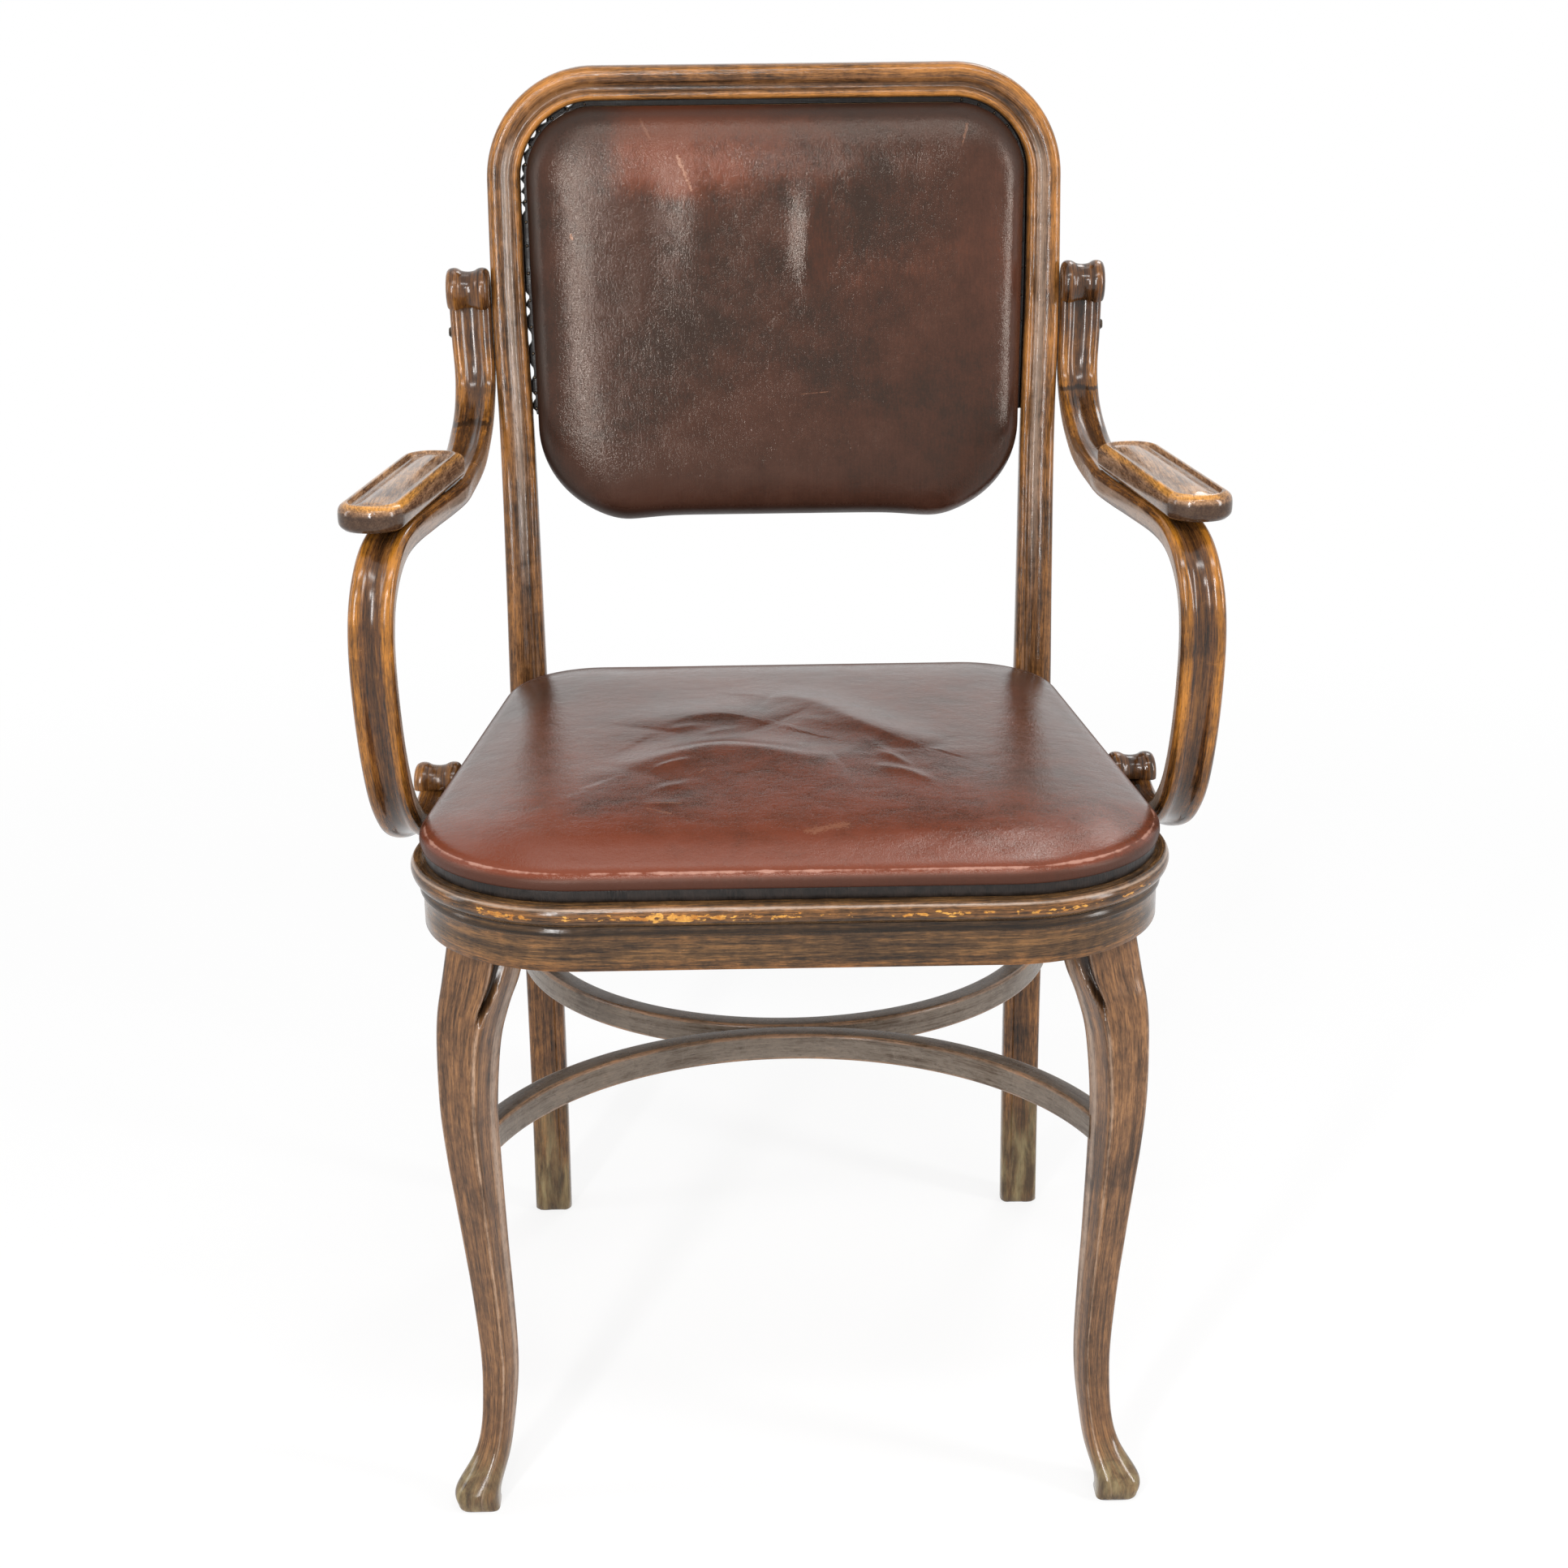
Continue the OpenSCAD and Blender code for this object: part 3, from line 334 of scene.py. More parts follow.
def leather(name, deep, body, red, gloss=0.3, grain=0.0001, scratches=()):
    """Old varnished leather: fine grain, mottled brown and a few scratches.

    The painted tint, rim and dull say where it is redder (below 0: darker), rubbed pale with a painted
    highlight line, or in painted shade and matt.
    At a glancing angle it is rougher, so that it doesn't mirror the lamps like glass.
    """
    g = Graph(name)
    at = g.place()
    cloud = g.noise(at, 8, detail=4, rough=0.6, bend=0.4)
    mottle = g.noise(at, 48, detail=5, rough=0.62)
    speck = g.noise(at, 560, detail=3, rough=0.6)
    cells = g.node("ShaderNodeTexVoronoi", {"Vector": at, "Scale": 950.0, "Randomness": 1.0},
                   feature="DISTANCE_TO_EDGE").outputs[0]
    thread = g.noise(g.scaled(at, (620, 620, 24)), detail=3, rough=0.6)
    mixed = g.total((cloud, 0.44), (mottle, 0.24), (speck, 0.16), (thread, 0.16), about=0)
    colour = g.ramp(mixed, [(0.41, deep), (0.5, body), (0.6, shade(body, 1.35))])
    drift = g.total((mottle, 0.6), (thread, 0.6), (cloud, 1.0))
    tint = g.wear("tint")
    colour = g.mix(g.step(g.sum("ADD", tint, drift), 0.1, 1.0, 0.0, 0.9), colour, red)
    colour = g.mix(g.step(g.sum("MULTIPLY", tint, -1.0), 0.0, 1.0, 0.0, 0.75), colour, deep)
    # The rim paint is a painted highlight line along the seat's front roll, with rubbed pale spots
    rim = g.sum("ADD", g.wear("rim"), g.sum("MULTIPLY", g.sum("SUBTRACT", mottle, 0.5), 2.2))
    colour = g.mix(g.step(rim, 0.55, 1.0, 0.0, 0.75), colour, RUBS_AND_HIGHLIGHT)
    for start, end, width, pale in scratches:
        a, b = Vector(start), Vector(end)
        flat = g.vector("MULTIPLY", at, (1, 0, 1) if a.y == 0 else (1, 1, 0))
        flat = g.vector("SUBTRACT", flat, a)
        share = g.vector("DOT_PRODUCT", flat, b - a, 1)
        share = g.sum("DIVIDE", share, (b - a).length_squared, clamp=True)
        foot = g.node("ShaderNodeVectorMath", {0: b - a, 3: share}, operation="SCALE").outputs[0]
        gap = g.vector("DISTANCE", flat, foot, 1)
        gap = g.sum("ADD", gap, g.total((speck, width * 4.0), (mottle, width * 2.5)))
        colour = g.mix(g.step(gap, width, width * 0.2, 0.0, pale), colour, SCRATCH)
    # Painted shade where dull is painted, which also makes the leather rougher
    dull = g.wear("dull")
    colour = g.mix(g.sum("MULTIPLY", dull, 0.75), colour, shade(deep, 0.45))
    rough = g.sum("ADD", gloss, g.total((mottle, 0.25), (speck, 0.2)))
    rough = g.sum("ADD", rough, g.sum("MULTIPLY", dull, 0.35), clamp=True)
    glance = g.node("ShaderNodeLayerWeight", {"Blend": 0.5}).outputs["Facing"]
    rough = g.sum("ADD", rough, g.step(glance, 0.8, 0.96, 0.0, 0.5), clamp=True)
    g.bump((mottle, 0.0005), (cells, grain), (speck, grain), (thread, 0.00008))
    return g.finish(colour, rough, Specular_IOR_Level=0.32, Specular_Tint=(1.0, 0.88, 0.78, 1.0))


def plain_wood(name, dark, pale):
    """Unfinished beech, for the boards, blocks and dowels that show only from below."""
    g = Graph(name)
    at = g.place()
    streak = g.noise(g.scaled(at, (12, 160, 160)), detail=7, rough=0.65, bend=0.3)
    fleck = g.noise(g.scaled(at, (160, 900, 900)), detail=2)
    colour = g.ramp(streak, [(0.36, dark), (0.62, pale)])
    colour = g.mix(g.step(fleck, 0.58, 0.66, 0.0, 0.5), colour, shade(dark, 0.5))
    g.bump((streak, 0.0004), (fleck, 0.0001))
    return g.finish(colour, g.step(streak, 0.3, 0.7, 0.55, 0.75), Specular_IOR_Level=0.3)


def metal(name, dark, pale, rough=0.42):
    """Old steel with fine scratches and brown stains."""
    g = Graph(name)
    at = g.place()
    brush = g.noise(g.scaled(at, (300, 2600, 2600)), detail=3)
    stain = g.noise(at, 240, detail=5, rough=0.7)
    colour = g.ramp(stain, [(0.4, dark), (0.6, pale)])
    colour = g.mix(g.step(brush, 0.45, 0.7, 0.0, 0.35), colour, shade(pale, 1.25))
    g.bump((brush, 0.00004), (stain, 0.00012))
    return g.finish(colour, g.step(stain, 0.35, 0.65, rough, rough + 0.2), Metallic=0.9)


def trim(name, dark, body):
    """Black-brown leather tape with a close ribbed grain."""
    g = Graph(name)
    along = g.node("ShaderNodeUVMap", uv_map="grain").outputs[0]
    at = g.place()
    ribs = g.noise(g.scaled(along, (900, 120, 1)), detail=2)
    mottle = g.noise(at, 90, detail=5, rough=0.65)
    colour = g.ramp(mottle, [(0.38, dark), (0.64, body)])
    colour = g.mix(g.step(ribs, 0.5, 0.66, 0.0, 0.4), colour, shade(body, 1.7))
    g.bump((ribs, 0.00025), (mottle, 0.0003))
    return g.finish(colour, g.step(mottle, 0.35, 0.65, 0.28, 0.5), Specular_IOR_Level=0.35)


wood_frame = wood("wood_frame", tone(42, 30, 20), tone(94, 63, 38), tone(134, 92, 54), tone(157, 103, 46),
                  gloss=0.14, shine=0.34, feet=0.15, relief=0.7)
wood_arm = wood("wood_arm", tone(36, 24, 15), tone(84, 52, 27), tone(126, 82, 38), tone(155, 99, 30),
                gloss=0.17, shine=0.46, scar=True, relief=0.12)
wood_ring = wood("wood_ring", tone(38, 27, 18), tone(76, 54, 33), tone(114, 82, 49), tone(146, 90, 40),
                 chips=0.95, gloss=0.15, shine=0.34, relief=0.7)
wood_leg = wood("wood_leg", tone(54, 37, 24), tone(98, 68, 44), tone(138, 97, 60), tone(152, 126, 104),
                gloss=0.14, shine=0.4, feet=0.06, relief=0.35)
wood_bow = wood("wood_bow", tone(76, 62, 50), tone(108, 97, 86), tone(118, 107, 96), tone(148, 108, 76),
                gloss=0.26, relief=0.3)
wood_rest = wood("wood_rest", tone(76, 50, 34), tone(122, 90, 64), tone(164, 128, 98), tone(186, 128, 54),
                 gloss=0.12, shine=0.42, sawn=True, relief=0.12)
leather_back = leather(
    "leather_back", tone(45, 31, 25), tone(60, 36, 27), tone(104, 50, 27), gloss=0.13,
    scratches=[((-0.0755, 0, 0.8942), (-0.0652, 0, 0.8696), 0.0016, 0.6),
               ((-0.104, 0, 0.922), (-0.097, 0, 0.908), 0.0012, 0.3),
               ((0.151, 0, 0.916), (0.147, 0, 0.9), 0.0012, 0.4),
               ((-0.160, 0, 0.836), (-0.1597, 0, 0.834), 0.0014, 0.7),
               ((0.0175, 0, 0.7127), (0.0401, 0, 0.7143), 0.0005, 0.35)])
leather_seat = leather(
    "leather_seat", tone(62, 38, 28), tone(82, 46, 33), tone(112, 54, 35), gloss=0.13,
    scratches=[((-0.098, -0.177, 0), (-0.074, -0.178, 0), 0.0012, 0.4),
               ((-0.097, -0.187, 0), (-0.081, -0.197, 0), 0.0012, 0.4),
               ((0.014, -0.232, 0), (0.034, -0.222, 0), 0.006, 0.4),
               ((-0.062, -0.118, 0), (-0.058, -0.112, 0), 0.0012, 0.35)])
leather_rear = leather("leather_rear", tone(44, 31, 29), tone(70, 48, 43), tone(92, 56, 44), gloss=0.42)
trim_dark = trim("trim_dark", tone(14, 10, 8), tone(34, 26, 22))
plain = plain_wood("plain_beech", tone(120, 88, 58), tone(178, 142, 100))
steel = metal("old_steel", tone(92, 84, 76), tone(150, 142, 132))
tack = metal("tack_metal", tone(40, 32, 26), tone(86, 74, 62), rough=0.34)


# ---- back frame

def rod_back(z):
    """How far back the middle plane of the bent rod stands at a height."""
    z = np.asarray(z, float)
    foot = FOOT_SPLAY * (np.maximum(SPLAY_TOP - z, 0) / SPLAY_TOP) ** 2
    rise = LEAN_TO - LEAN_FROM
    bend = LEAN * np.clip(z - LEAN_FROM, 0, rise) ** 2 / (2 * rise)
    return ROD_Y + foot + bend + LEAN * np.maximum(z - LEAN_TO, 0)


# Section of the rod: out from its middle, and forward, as shares of half its width and half its thickness
ROD_SHAPE = [
    (1, 0), (1, 0.45), (0.93, 0.78), (0.72, 0.96), (0.42, 1), (0.15, 0.93), (-0.05, 0.78),
    (-0.22, 0.70), (-0.40, 0.74), (-0.52, 0.90), (-0.70, 0.97), (-0.88, 0.88),
    (-0.98, 0.62), (-1, 0.2), (-0.94, -0.35), (-0.74, -0.74), (-0.38, -0.96),
    (0.38, -0.96), (0.74, -0.74), (0.96, -0.38),
]
CORNER_X, CORNER_Z = TOP_X - CORNER_R, RAIL_Z - CORNER_R
# Height, distance from the middle, half width and half thickness
ROD_ROWS = [
    (0, 203, 15.5, ROD_THICK), (110, 202, 15.5, ROD_THICK), (220, 202, 15.5, ROD_THICK),
    (330, 203.5, 15.5, ROD_THICK), (445, 205, 15.5, ROD_THICK), (560, 206, 14.5, 13.2), (670, 208, 13.9, 12.9),
    (780, 212, 13.6, 12.7), (CORNER_Z, TOP_X, CORNER_WIDE, CORNER_THICK),
]
rod_line = curve(ROD_ROWS, 7)
turns = np.radians(np.linspace(0, 90, 31)[1:])
rod_side = np.vstack([
    np.insert(rod_line[:, [1, 0, 2, 3]], 2, 0, 1),
    np.column_stack([arc(CORNER_X, CORNER_Z, CORNER_R, turns), turns,
                     0 * turns + CORNER_WIDE, 0 * turns + CORNER_THICK]),
])


def rod_points(station, out, back, side):
    """Points beside one station of the rod: out from its middle, and back from its middle plane."""
    x, z, turn = station[:3]
    high = z + np.asarray(out) * math.sin(turn)
    return np.stack([side * (x + np.asarray(out) * math.cos(turn)), rod_back(high) + back, high], 1)


rod_u, rod_v = curve(ROD_SHAPE, 4, closed=True).T
in_hollow = (rod_v > 0.5) & (np.abs(rod_u) < 0.8)
rod_flat = np.where(in_hollow, np.maximum(rod_v, 0.95), rod_v)


def rod_row(s, side):
    """One row of the rod, whose hollow runs out just above the floor."""
    deep = step(s[1], 12, 60)
    return rod_points(s, rod_u * s[3], -(rod_v * deep + rod_flat * (1 - deep)) * s[4], side)


rod_half = [rod_row(s, 1) for s in rod_side]
rod_other = [rod_row(s, -1) for s in rod_side[::-1]]
sole = rod_side[0]
foot = rod_points(sole, rod_u * (sole[3] - FOOT_EDGE), -rod_flat * (sole[4] - FOOT_EDGE), 1)
rod_half[0] = rod_half[0] + [0, 0, FOOT_EDGE]
rod_other[-1] = rod_other[-1] + [0, 0, FOOT_EDGE]
# Golden wear on the beads; painted shade in the hollow, deeper in the top rail, and a darker rear side; a painted pale
# sheen in the hollow of the uprights, where they catch the light
crown = (bell(rod_u, 0.75, 0.42) + bell(rod_u, -0.78, 0.26)) * step(rod_v, 0.1, 0.7)
hollow = bell(rod_u, -0.22, 0.24) * step(rod_v, 0.4, 0.65)
behind = step(-rod_v, 0.2, 0.9)
high = rod_side[:, 1, None]
worn_at = 0.1 + 0.4 * step(high, 430, 700) + 0.15 * step(high, 700, 900)
lit = step(high, 500, 640) * step(-high, -925, -890)
half_wear_and_shade = worn_at * crown - (0.2 + 0.25 * step(high, 880, 930)) * hollow - 0.25 * behind
half_painted_sheen = 0.75 * lit * bell(rod_u, -0.12, 0.36) * step(rod_v, 0.4, 0.65)
piece("rod_frame", [foot] + rod_half + rod_other + [foot * [-1, 1, 1]], wood_frame, ["back_frame"],
      {"wear": np.vstack([half_wear_and_shade[:1], half_wear_and_shade, half_wear_and_shade[::-1], half_wear_and_shade[:1]]),
       "pale": np.vstack([half_painted_sheen[:1], half_painted_sheen, half_painted_sheen[::-1], half_painted_sheen[:1]])})

# ---- seat ring

# Section of the ring: inset from its outline, and height above its underside
ring_line = np.vstack([
    [(RING_T, 0.8), (RING_T - 0.8, 0)],
    [(BEAD_OUT + 1.4, 0), (BEAD_OUT + 0.4, 0.4), (BEAD_OUT, 1.4), (BEAD_OUT, 12), (BEAD_OUT, RING_H * 0.50),
     (BEAD_OUT - 0.5, RING_H * 0.522), (BEAD_OUT - 1.6, RING_H * 0.535), (BEAD_OUT - FILLET, RING_H * 0.545),
     (BEAD_OUT - FILLET, RING_H * 0.57), (BEAD_OUT - FILLET, RING_H * 0.60), (BEAD_OUT - 1.6, RING_H * 0.63),
     (BEAD_OUT - 1.3, RING_H * 0.66)],
    curve([(BEAD_OUT - 1.6, RING_H * 0.672), (BEAD_OUT - 3.5, RING_H * 0.70), (1.4, RING_H * 0.76),
           (0, RING_H * 0.86), (1.2, RING_H * 0.94), (4.2, RING_H * 0.99), (7, RING_H)], 5),
    [(12, RING_H), (RING_T - 0.8, RING_H), (RING_T, RING_H - 0.8)],
])
ring_wear_and_shade, ring_chip, ring_painted_highlight = [], [], []
base = np.roll(round_loop(FRONT, REAR, 0, 320, detail=60), 160, 0)
ahead, behind_it = np.roll(base, -1, 0), np.roll(base, 1, 0)
outward = ahead - behind_it
outward = np.stack([outward[:, 1], -outward[:, 0]], 1)
outward /= np.linalg.norm(outward, axis=1)[:, None]
if (outward * (base - base.mean(0))).sum() < 0:
    outward = -outward
ring_rows = [np.column_stack([base - outward * inset, 0 * base[:, 0] + RING_Z + height])
             for inset, height in ring_line]
front_share = 1 - 0.35 * step(base[:, 1], -260, -60) - 0.3 * step(base[:, 1], 0, 160)
for inset, height in ring_line:
    # Worn bead and edges, and chips; painted shade in the fillet groove and the line under the bead; a painted
    # highlight line along the top of the bead, strongest at the front
    bead = step(height, RING_H * 0.72, RING_H * 0.8) * step(inset, 6, 2)
    groove = bell(height, RING_H * 0.575, RING_H * 0.05) + 0.8 * bell(height, RING_H * 0.672, 1.0)
    edge = 0.45 * bell(height, 0.8, 1.0) + 0.25 * bell(height, RING_H * 0.505, 1.2)
    ring_wear_and_shade.append((0.3 * bead + edge) * front_share - 0.9 * groove - 0.05)
    ring_chip.append(0.85 * bell(height, RING_H * 0.84, RING_H * 0.11) * bell(inset, 1.0, 3.5)
                     * (1 - 0.5 * step(base[:, 1], -270, -150)))
    ring_painted_highlight.append(0.85 * bell(height, RING_H * 0.95, 1.0) * bell(inset, 1.5, 2.0) * front_share)
piece("ring_rim", ring_rows, wood_ring, ["seat_ring"],
      {"wear": ring_wear_and_shade, "chip": ring_chip, "pale": ring_painted_highlight}, round_trip=True, grain="cols", shift=1.3, sharp=40)

# ---- front legs

# Height, how far out along the diagonal, width, squareness, and how far the section has turned square to the chair
LEG_ROWS = [
    (422, -21, 42.5, 7, 0), (397, -15.8, 41.5, 6, 0), (377, -10.4, 38.2, 6, 0), (352, -6.6, 33.8, 7, 0),
    (308, -4.9, 30, 9, 0), (269, -6.5, 28, 9, 0), (232, -9, 25.8, 8, 0), (195, -11.5, 23.6, 8, 0),
    (159, -14, 22.2, 7, 0), (114, -16.2, 21, 6, 0), (85, -15.8, 20.4, 5, 0), (55, -13, 20, 4, 0.1),
    (35, -8.5, 22.5, 4, 0.25), (15, 1, 30, 4, 0.6), (4, 1, 29, 4, 0.9), (0, -0.5, 26.5, 5, 1),
]
leg_line = curve(LEG_ROWS, 7)
round_leg = np.radians(np.arange(0, 360, 2.0))


def squared(a, power):
    """Reach of a square with rounded corners at an angle, sharper for a higher power."""
    return (np.abs(np.cos(a)) ** power + np.abs(np.sin(a)) ** power) ** (-1 / power)


def leg_rows(side, twist):
    """A front leg whose arris is turned inward by twist degrees, with the sunk groove on its knee, painted shade in
    the groove and painted highlights on its lips.
    """
    rows, wear, pale = [], [], []
    for z, x, size, power, square in leg_line:
        mid = TOE_X + x
        shape = (1 - square) * squared(round_leg - math.pi / 4 + math.radians(twist), power) \
            + square * squared(round_leg, power)
        off = np.abs(np.degrees(round_leg) - 270 + twist + 16 * step(z, 372, 412))
        open_at = step(z, 368, 384)
        wide = 5 + 12 * step(z, 368, 412)
        groove = open_at * np.clip(1 - (off / wide) ** 1.4, 0, 1)
        lip = open_at * bell(off, wide + 2, 3)
        reach = size * LEG_HALF * shape * (1 - 0.3 * groove + 0.02 * lip)
        rows.append(np.stack([side * (mid + reach * np.cos(round_leg)),
                              TOE_Y + TOE_X - mid - square * 2 + reach * np.sin(round_leg), 0 * round_leg + z], 1))
        turned = (np.degrees(round_leg) + twist) % 360
        # Worn arrises with a painted highlight along them; painted shade in the groove and in a line beside it; a
        # painted highlight on the groove's lips and a painted pale reflection on the inner face
        arris = sum(bell(turned, a, 4.5) for a in (180, 270, 358)) * step(-z, -400, -360)
        wear.append(0.5 * arris - 1.3 * groove - 0.3 * bell(turned, 258, 5) - 0.05)
        pale.append(0.6 * lip * step(-off, -wide - 6, -wide) + 0.75 * bell(turned, 203, 15) + 0.35 * arris)
    return rows, {"wear": wear, "pale": pale}


for side, word, twist in ((-1, "left", 14), (1, "right", 20)):
    rows, paint = leg_rows(side, twist)
    piece(f"leg_{word}", rows, wood_leg, [f"front_leg_{word}"], paint, shift=2.1 + side, sharp=60)

# ---- stretchers

half_t, half_h = STRETCHER_T / 2, STRETCHER_H / 2
mid_z = STRETCHER_Z + half_h
LEG_MID_X = TOE_X + np.interp(mid_z, leg_line[::-1, 0], leg_line[::-1, 1])
LEG_MID_H = np.interp(mid_z, leg_line[::-1, 0], leg_line[::-1, 2]) * LEG_HALF
JOINT_X = LEG_MID_X - LEG_MID_H / math.sqrt(2) - 1.2
JOINT_Y = TOE_Y + TOE_X - LEG_MID_X + LEG_MID_H / math.sqrt(2) - 1.2
BOW_DEEP = 144.6
BOW_MID = (JOINT_X ** 2 + BOW_DEEP ** 2) / (2 * BOW_DEEP)
BOW_Y = JOINT_Y + BOW_DEEP - BOW_MID
BOWS_Y = JOINT_Y + BOW_DEEP + half_t
REAR_BOW = 205.5
BOW_EDGE = 2.2


def bow_loop():
    """Section of a stretcher with rounded arrises: across and up from its middle."""
    r, out = 2.6, []
    for cx, cz, start in ((half_t - r, -half_h + r, -90), (half_t - r, half_h - r, 0),
                          (-half_t + r, half_h - r, 90), (-half_t + r, -half_h + r, 180)):
        a = np.radians(start + np.linspace(0, 90, 7))
        out.append(arc(cx, cz, r, a))
        nxt = np.radians(start + 90)
        out.append((out[-1][-1] + np.array([-math.sin(nxt), math.cos(nxt)])
                    * (2 * (half_h - r) if start in (-90, 90) else 2 * (half_t - r)) / 2)[None])
    return np.vstack(out)


def bow_row(radius, y, a):
    """The section at the angle a of a bow whose middle lies at y."""
    reach = radius + section[:, 0]
    return np.stack([reach * math.cos(a), y + reach * math.sin(a), mid_z + section[:, 1]], 1)


section = bow_loop()
at_edge = (np.abs(section) > [half_t - BOW_EDGE, half_h - BOW_EDGE]).all(1)
arris = np.where(at_edge, 0.42, np.where(section[:, 1] > half_h - 0.1, -0.4, -0.02))
low_angle = math.atan2(JOINT_Y - BOW_Y, JOINT_X) - math.radians(1.0)
angles = np.linspace(low_angle, math.pi - low_angle, 90)
piece("bow_front", [bow_row(BOW_MID, BOW_Y, a) for a in angles], wood_bow, ["front_stretcher"],
      {"wear": arris}, shift=0.4, sharp=60)

rear_y = BOWS_Y + FIT + half_t + REAR_BOW
end_y = float(rod_back(mid_z)) - ROD_THICK - FIT
angles = np.linspace(math.pi, 2 * math.pi, 100)
runs = np.linspace(end_y, rear_y, 12)[:-1]
rows = [np.stack([-(REAR_BOW + section[:, 0]), 0 * section[:, 0] + y, mid_z + section[:, 1]], 1) for y in runs]
rows += [bow_row(REAR_BOW, rear_y, a) for a in angles]
rows += [r * [-1, 1, 1] for r in rows[:len(runs)][::-1]]
piece("bow_rear", rows, wood_bow, ["rear_stretcher"], {"wear": arris}, shift=3.4, sharp=60)

# ---- arms

side_turn = side_angle(FRONT, REAR)
straight = rod_side[rod_side[:, 2] == 0]


def beside_rod(z):
    return float(np.interp(z, straight[:, 1], straight[:, 0] + straight[:, 3])) + FIT


def beside_ring(y):
    return (FRONT[0] * math.cos(side_turn) + FRONT[1] * math.sin(side_turn) + FRONT[2]
            - y * math.sin(side_turn)) / math.cos(side_turn) + FIT


SCROLL_Z, SCROLL_R, LOW_R, LOW_TURN = 793.0, 10.0, 7.5, math.radians(28)
SCROLL_Y, LOW_Y, LOW_Z = float(rod_back(SCROLL_Z)) - 4, 2, 461
# Inner side of an arm strip, from beside the upright to beside the ring
arm_key = [
    (beside_rod(SCROLL_Z), SCROLL_Y, SCROLL_Z),
    (beside_rod(760), float(rod_back(760)) - 4, 760), (beside_rod(730), float(rod_back(730)) - 5, 730),
    (224.5, 222, 710), (225, 199, 694), (225.5, 168, 684), (225.5, 135, ARM_Z - 1), (225.5, 95, ARM_Z - 1.8),
    (225.8, 50, ARM_Z - 0.8), (227, 10, ARM_Z - FIT), (232.3, -25, ARM_Z - FIT), (240, -65, ARM_Z - FIT),
    (249.3, -115, ARM_Z - FIT - 0.8), (255, -144, ARM_Z - 7.5), (259, ARM_FRONT + 8, ARM_Z - 23),
    (261.8, ARM_FRONT - 1, ARM_Z - 46), (263, ARM_FRONT, 600), (261.6, ARM_FRONT + 5.5, 552),
    (259, ARM_FRONT + 17.5, 510), (256.7, -133, 484), (beside_ring(-107) + 1, -107, 467),
    (beside_ring(-72), -72, 454), (beside_ring(-40), -40, 448.5), (beside_ring(-20), -16, 451.5),
    (beside_ring(-5), LOW_Y, LOW_Z),
]
scroll_top = arc(SCROLL_Y - SCROLL_R, SCROLL_Z, SCROLL_R, np.radians(24 * np.arange(10, 0, -1)))
scroll_top = np.insert(scroll_top, 0, beside_rod(SCROLL_Z), 1)
scroll_low = arc(LOW_Y - LOW_R * math.cos(LOW_TURN), LOW_Z + LOW_R * math.sin(LOW_TURN), LOW_R,
                 np.radians(23 * np.arange(1, 11)) - LOW_TURN)
scroll_low = np.insert(scroll_low, 0, beside_ring(scroll_low[:, 0] - ARM_T), 1)
arm_line = curve(arm_key, 6)
arm_path = np.vstack([scroll_top, arm_line, scroll_low])
cove = (ARM_HOLLOW + 0.5) / ARM_T
ARM_HALF = [(1, 0.3), (0.96, 0.66), (0.84, 0.92), (0.66, 1), (0.48, 0.93), (0.28, 1 - 0.78 * cove), (0, 1 - cove)]
ARM_SHAPE = ARM_HALF + [(-u, v) for u, v in ARM_HALF[-2::-1]]
ARM_SHAPE += [(-u, -v) for u, v in ARM_HALF] + [(u, -v) for u, v in ARM_HALF[-2::-1]]
arm_shape = curve(ARM_SHAPE, 4, closed=True)
arm_count = len(arm_path)


def arm_thick(i):
    """Half thickness of an arm strip, which thins out in both scrolls."""
    if i < 10:
        return ARM_T * (0.78 + 0.022 * i)
    if i > arm_count - 14:
        return ARM_T * (0.98 - 0.027 * (i - arm_count + 14))
    return ARM_T


def arm_rows(side):
    rows, wear = [], []
    across, up = np.abs(arm_shape).T
    # Painted pale reflection on the side faces, worn beads, and painted shade in the cove
    edge = 0.8 * step(across, 0.95, 0.99) * step(-up, -0.7, -0.4)
    rim = bell(across, 0.7, 0.3) * step(up, 0.2, 0.5)
    painted_cove_shade = bell(across, 0, 0.36) * step(up, 0.3, 0.6)
    for i, (x, y, z) in enumerate(arm_path):
        a, b = arm_path[max(0, i - 1)], arm_path[min(arm_count - 1, i + 1)]
        dy, dz = b[1] - a[1], b[2] - a[2]
        length = math.hypot(dy, dz)
        wide = ARM_W * (1.08 if i > arm_count - 11 else float(np.interp(z, [700, 750, 805], [1, 1.06, 1.09])))
        thick = arm_thick(i)
        rows.append(np.stack([
            side * (x + (1 + arm_shape[:, 0]) * wide),
            y - dz / length * arm_shape[:, 1] * thick,
            z + dy / length * arm_shape[:, 1] * thick,
        ], 1))
        place = 0.28 + 0.42 * bell(y, -160, 60) * step(z, 450, 560) + 0.35 * bell(z, 718, 28) - 0.2 * step(z, 740, 765)
        wear.append(place * rim - 0.5 * painted_cove_shade)
    return rows, {"wear": wear, "pale": edge}


for side, word in ((-1, "left"), (1, "right")):
    rows, paint = arm_rows(side)
    piece(f"arm_strip_{word}", rows, wood_arm, [f"arm_{word}"], paint, shift=5.2 + side, sharp=55)

# ---- armrests

REST_CORNER = (26, 15, 20, 21)
rest_line = np.vstack([
    curve([(3, -REST_T), (1, -REST_T + 2), (0, -REST_T + 5), (0, -6), (1.2, -2.5), (4, -0.4), (6.5, 0),
           (8.5, -REST_CHANNEL * 0.8), (11, -REST_CHANNEL), (15, -REST_CHANNEL * 0.6), (19, -REST_CHANNEL * 0.25)], 4),
    [(20.4, -REST_CHANNEL * 0.2)],
])


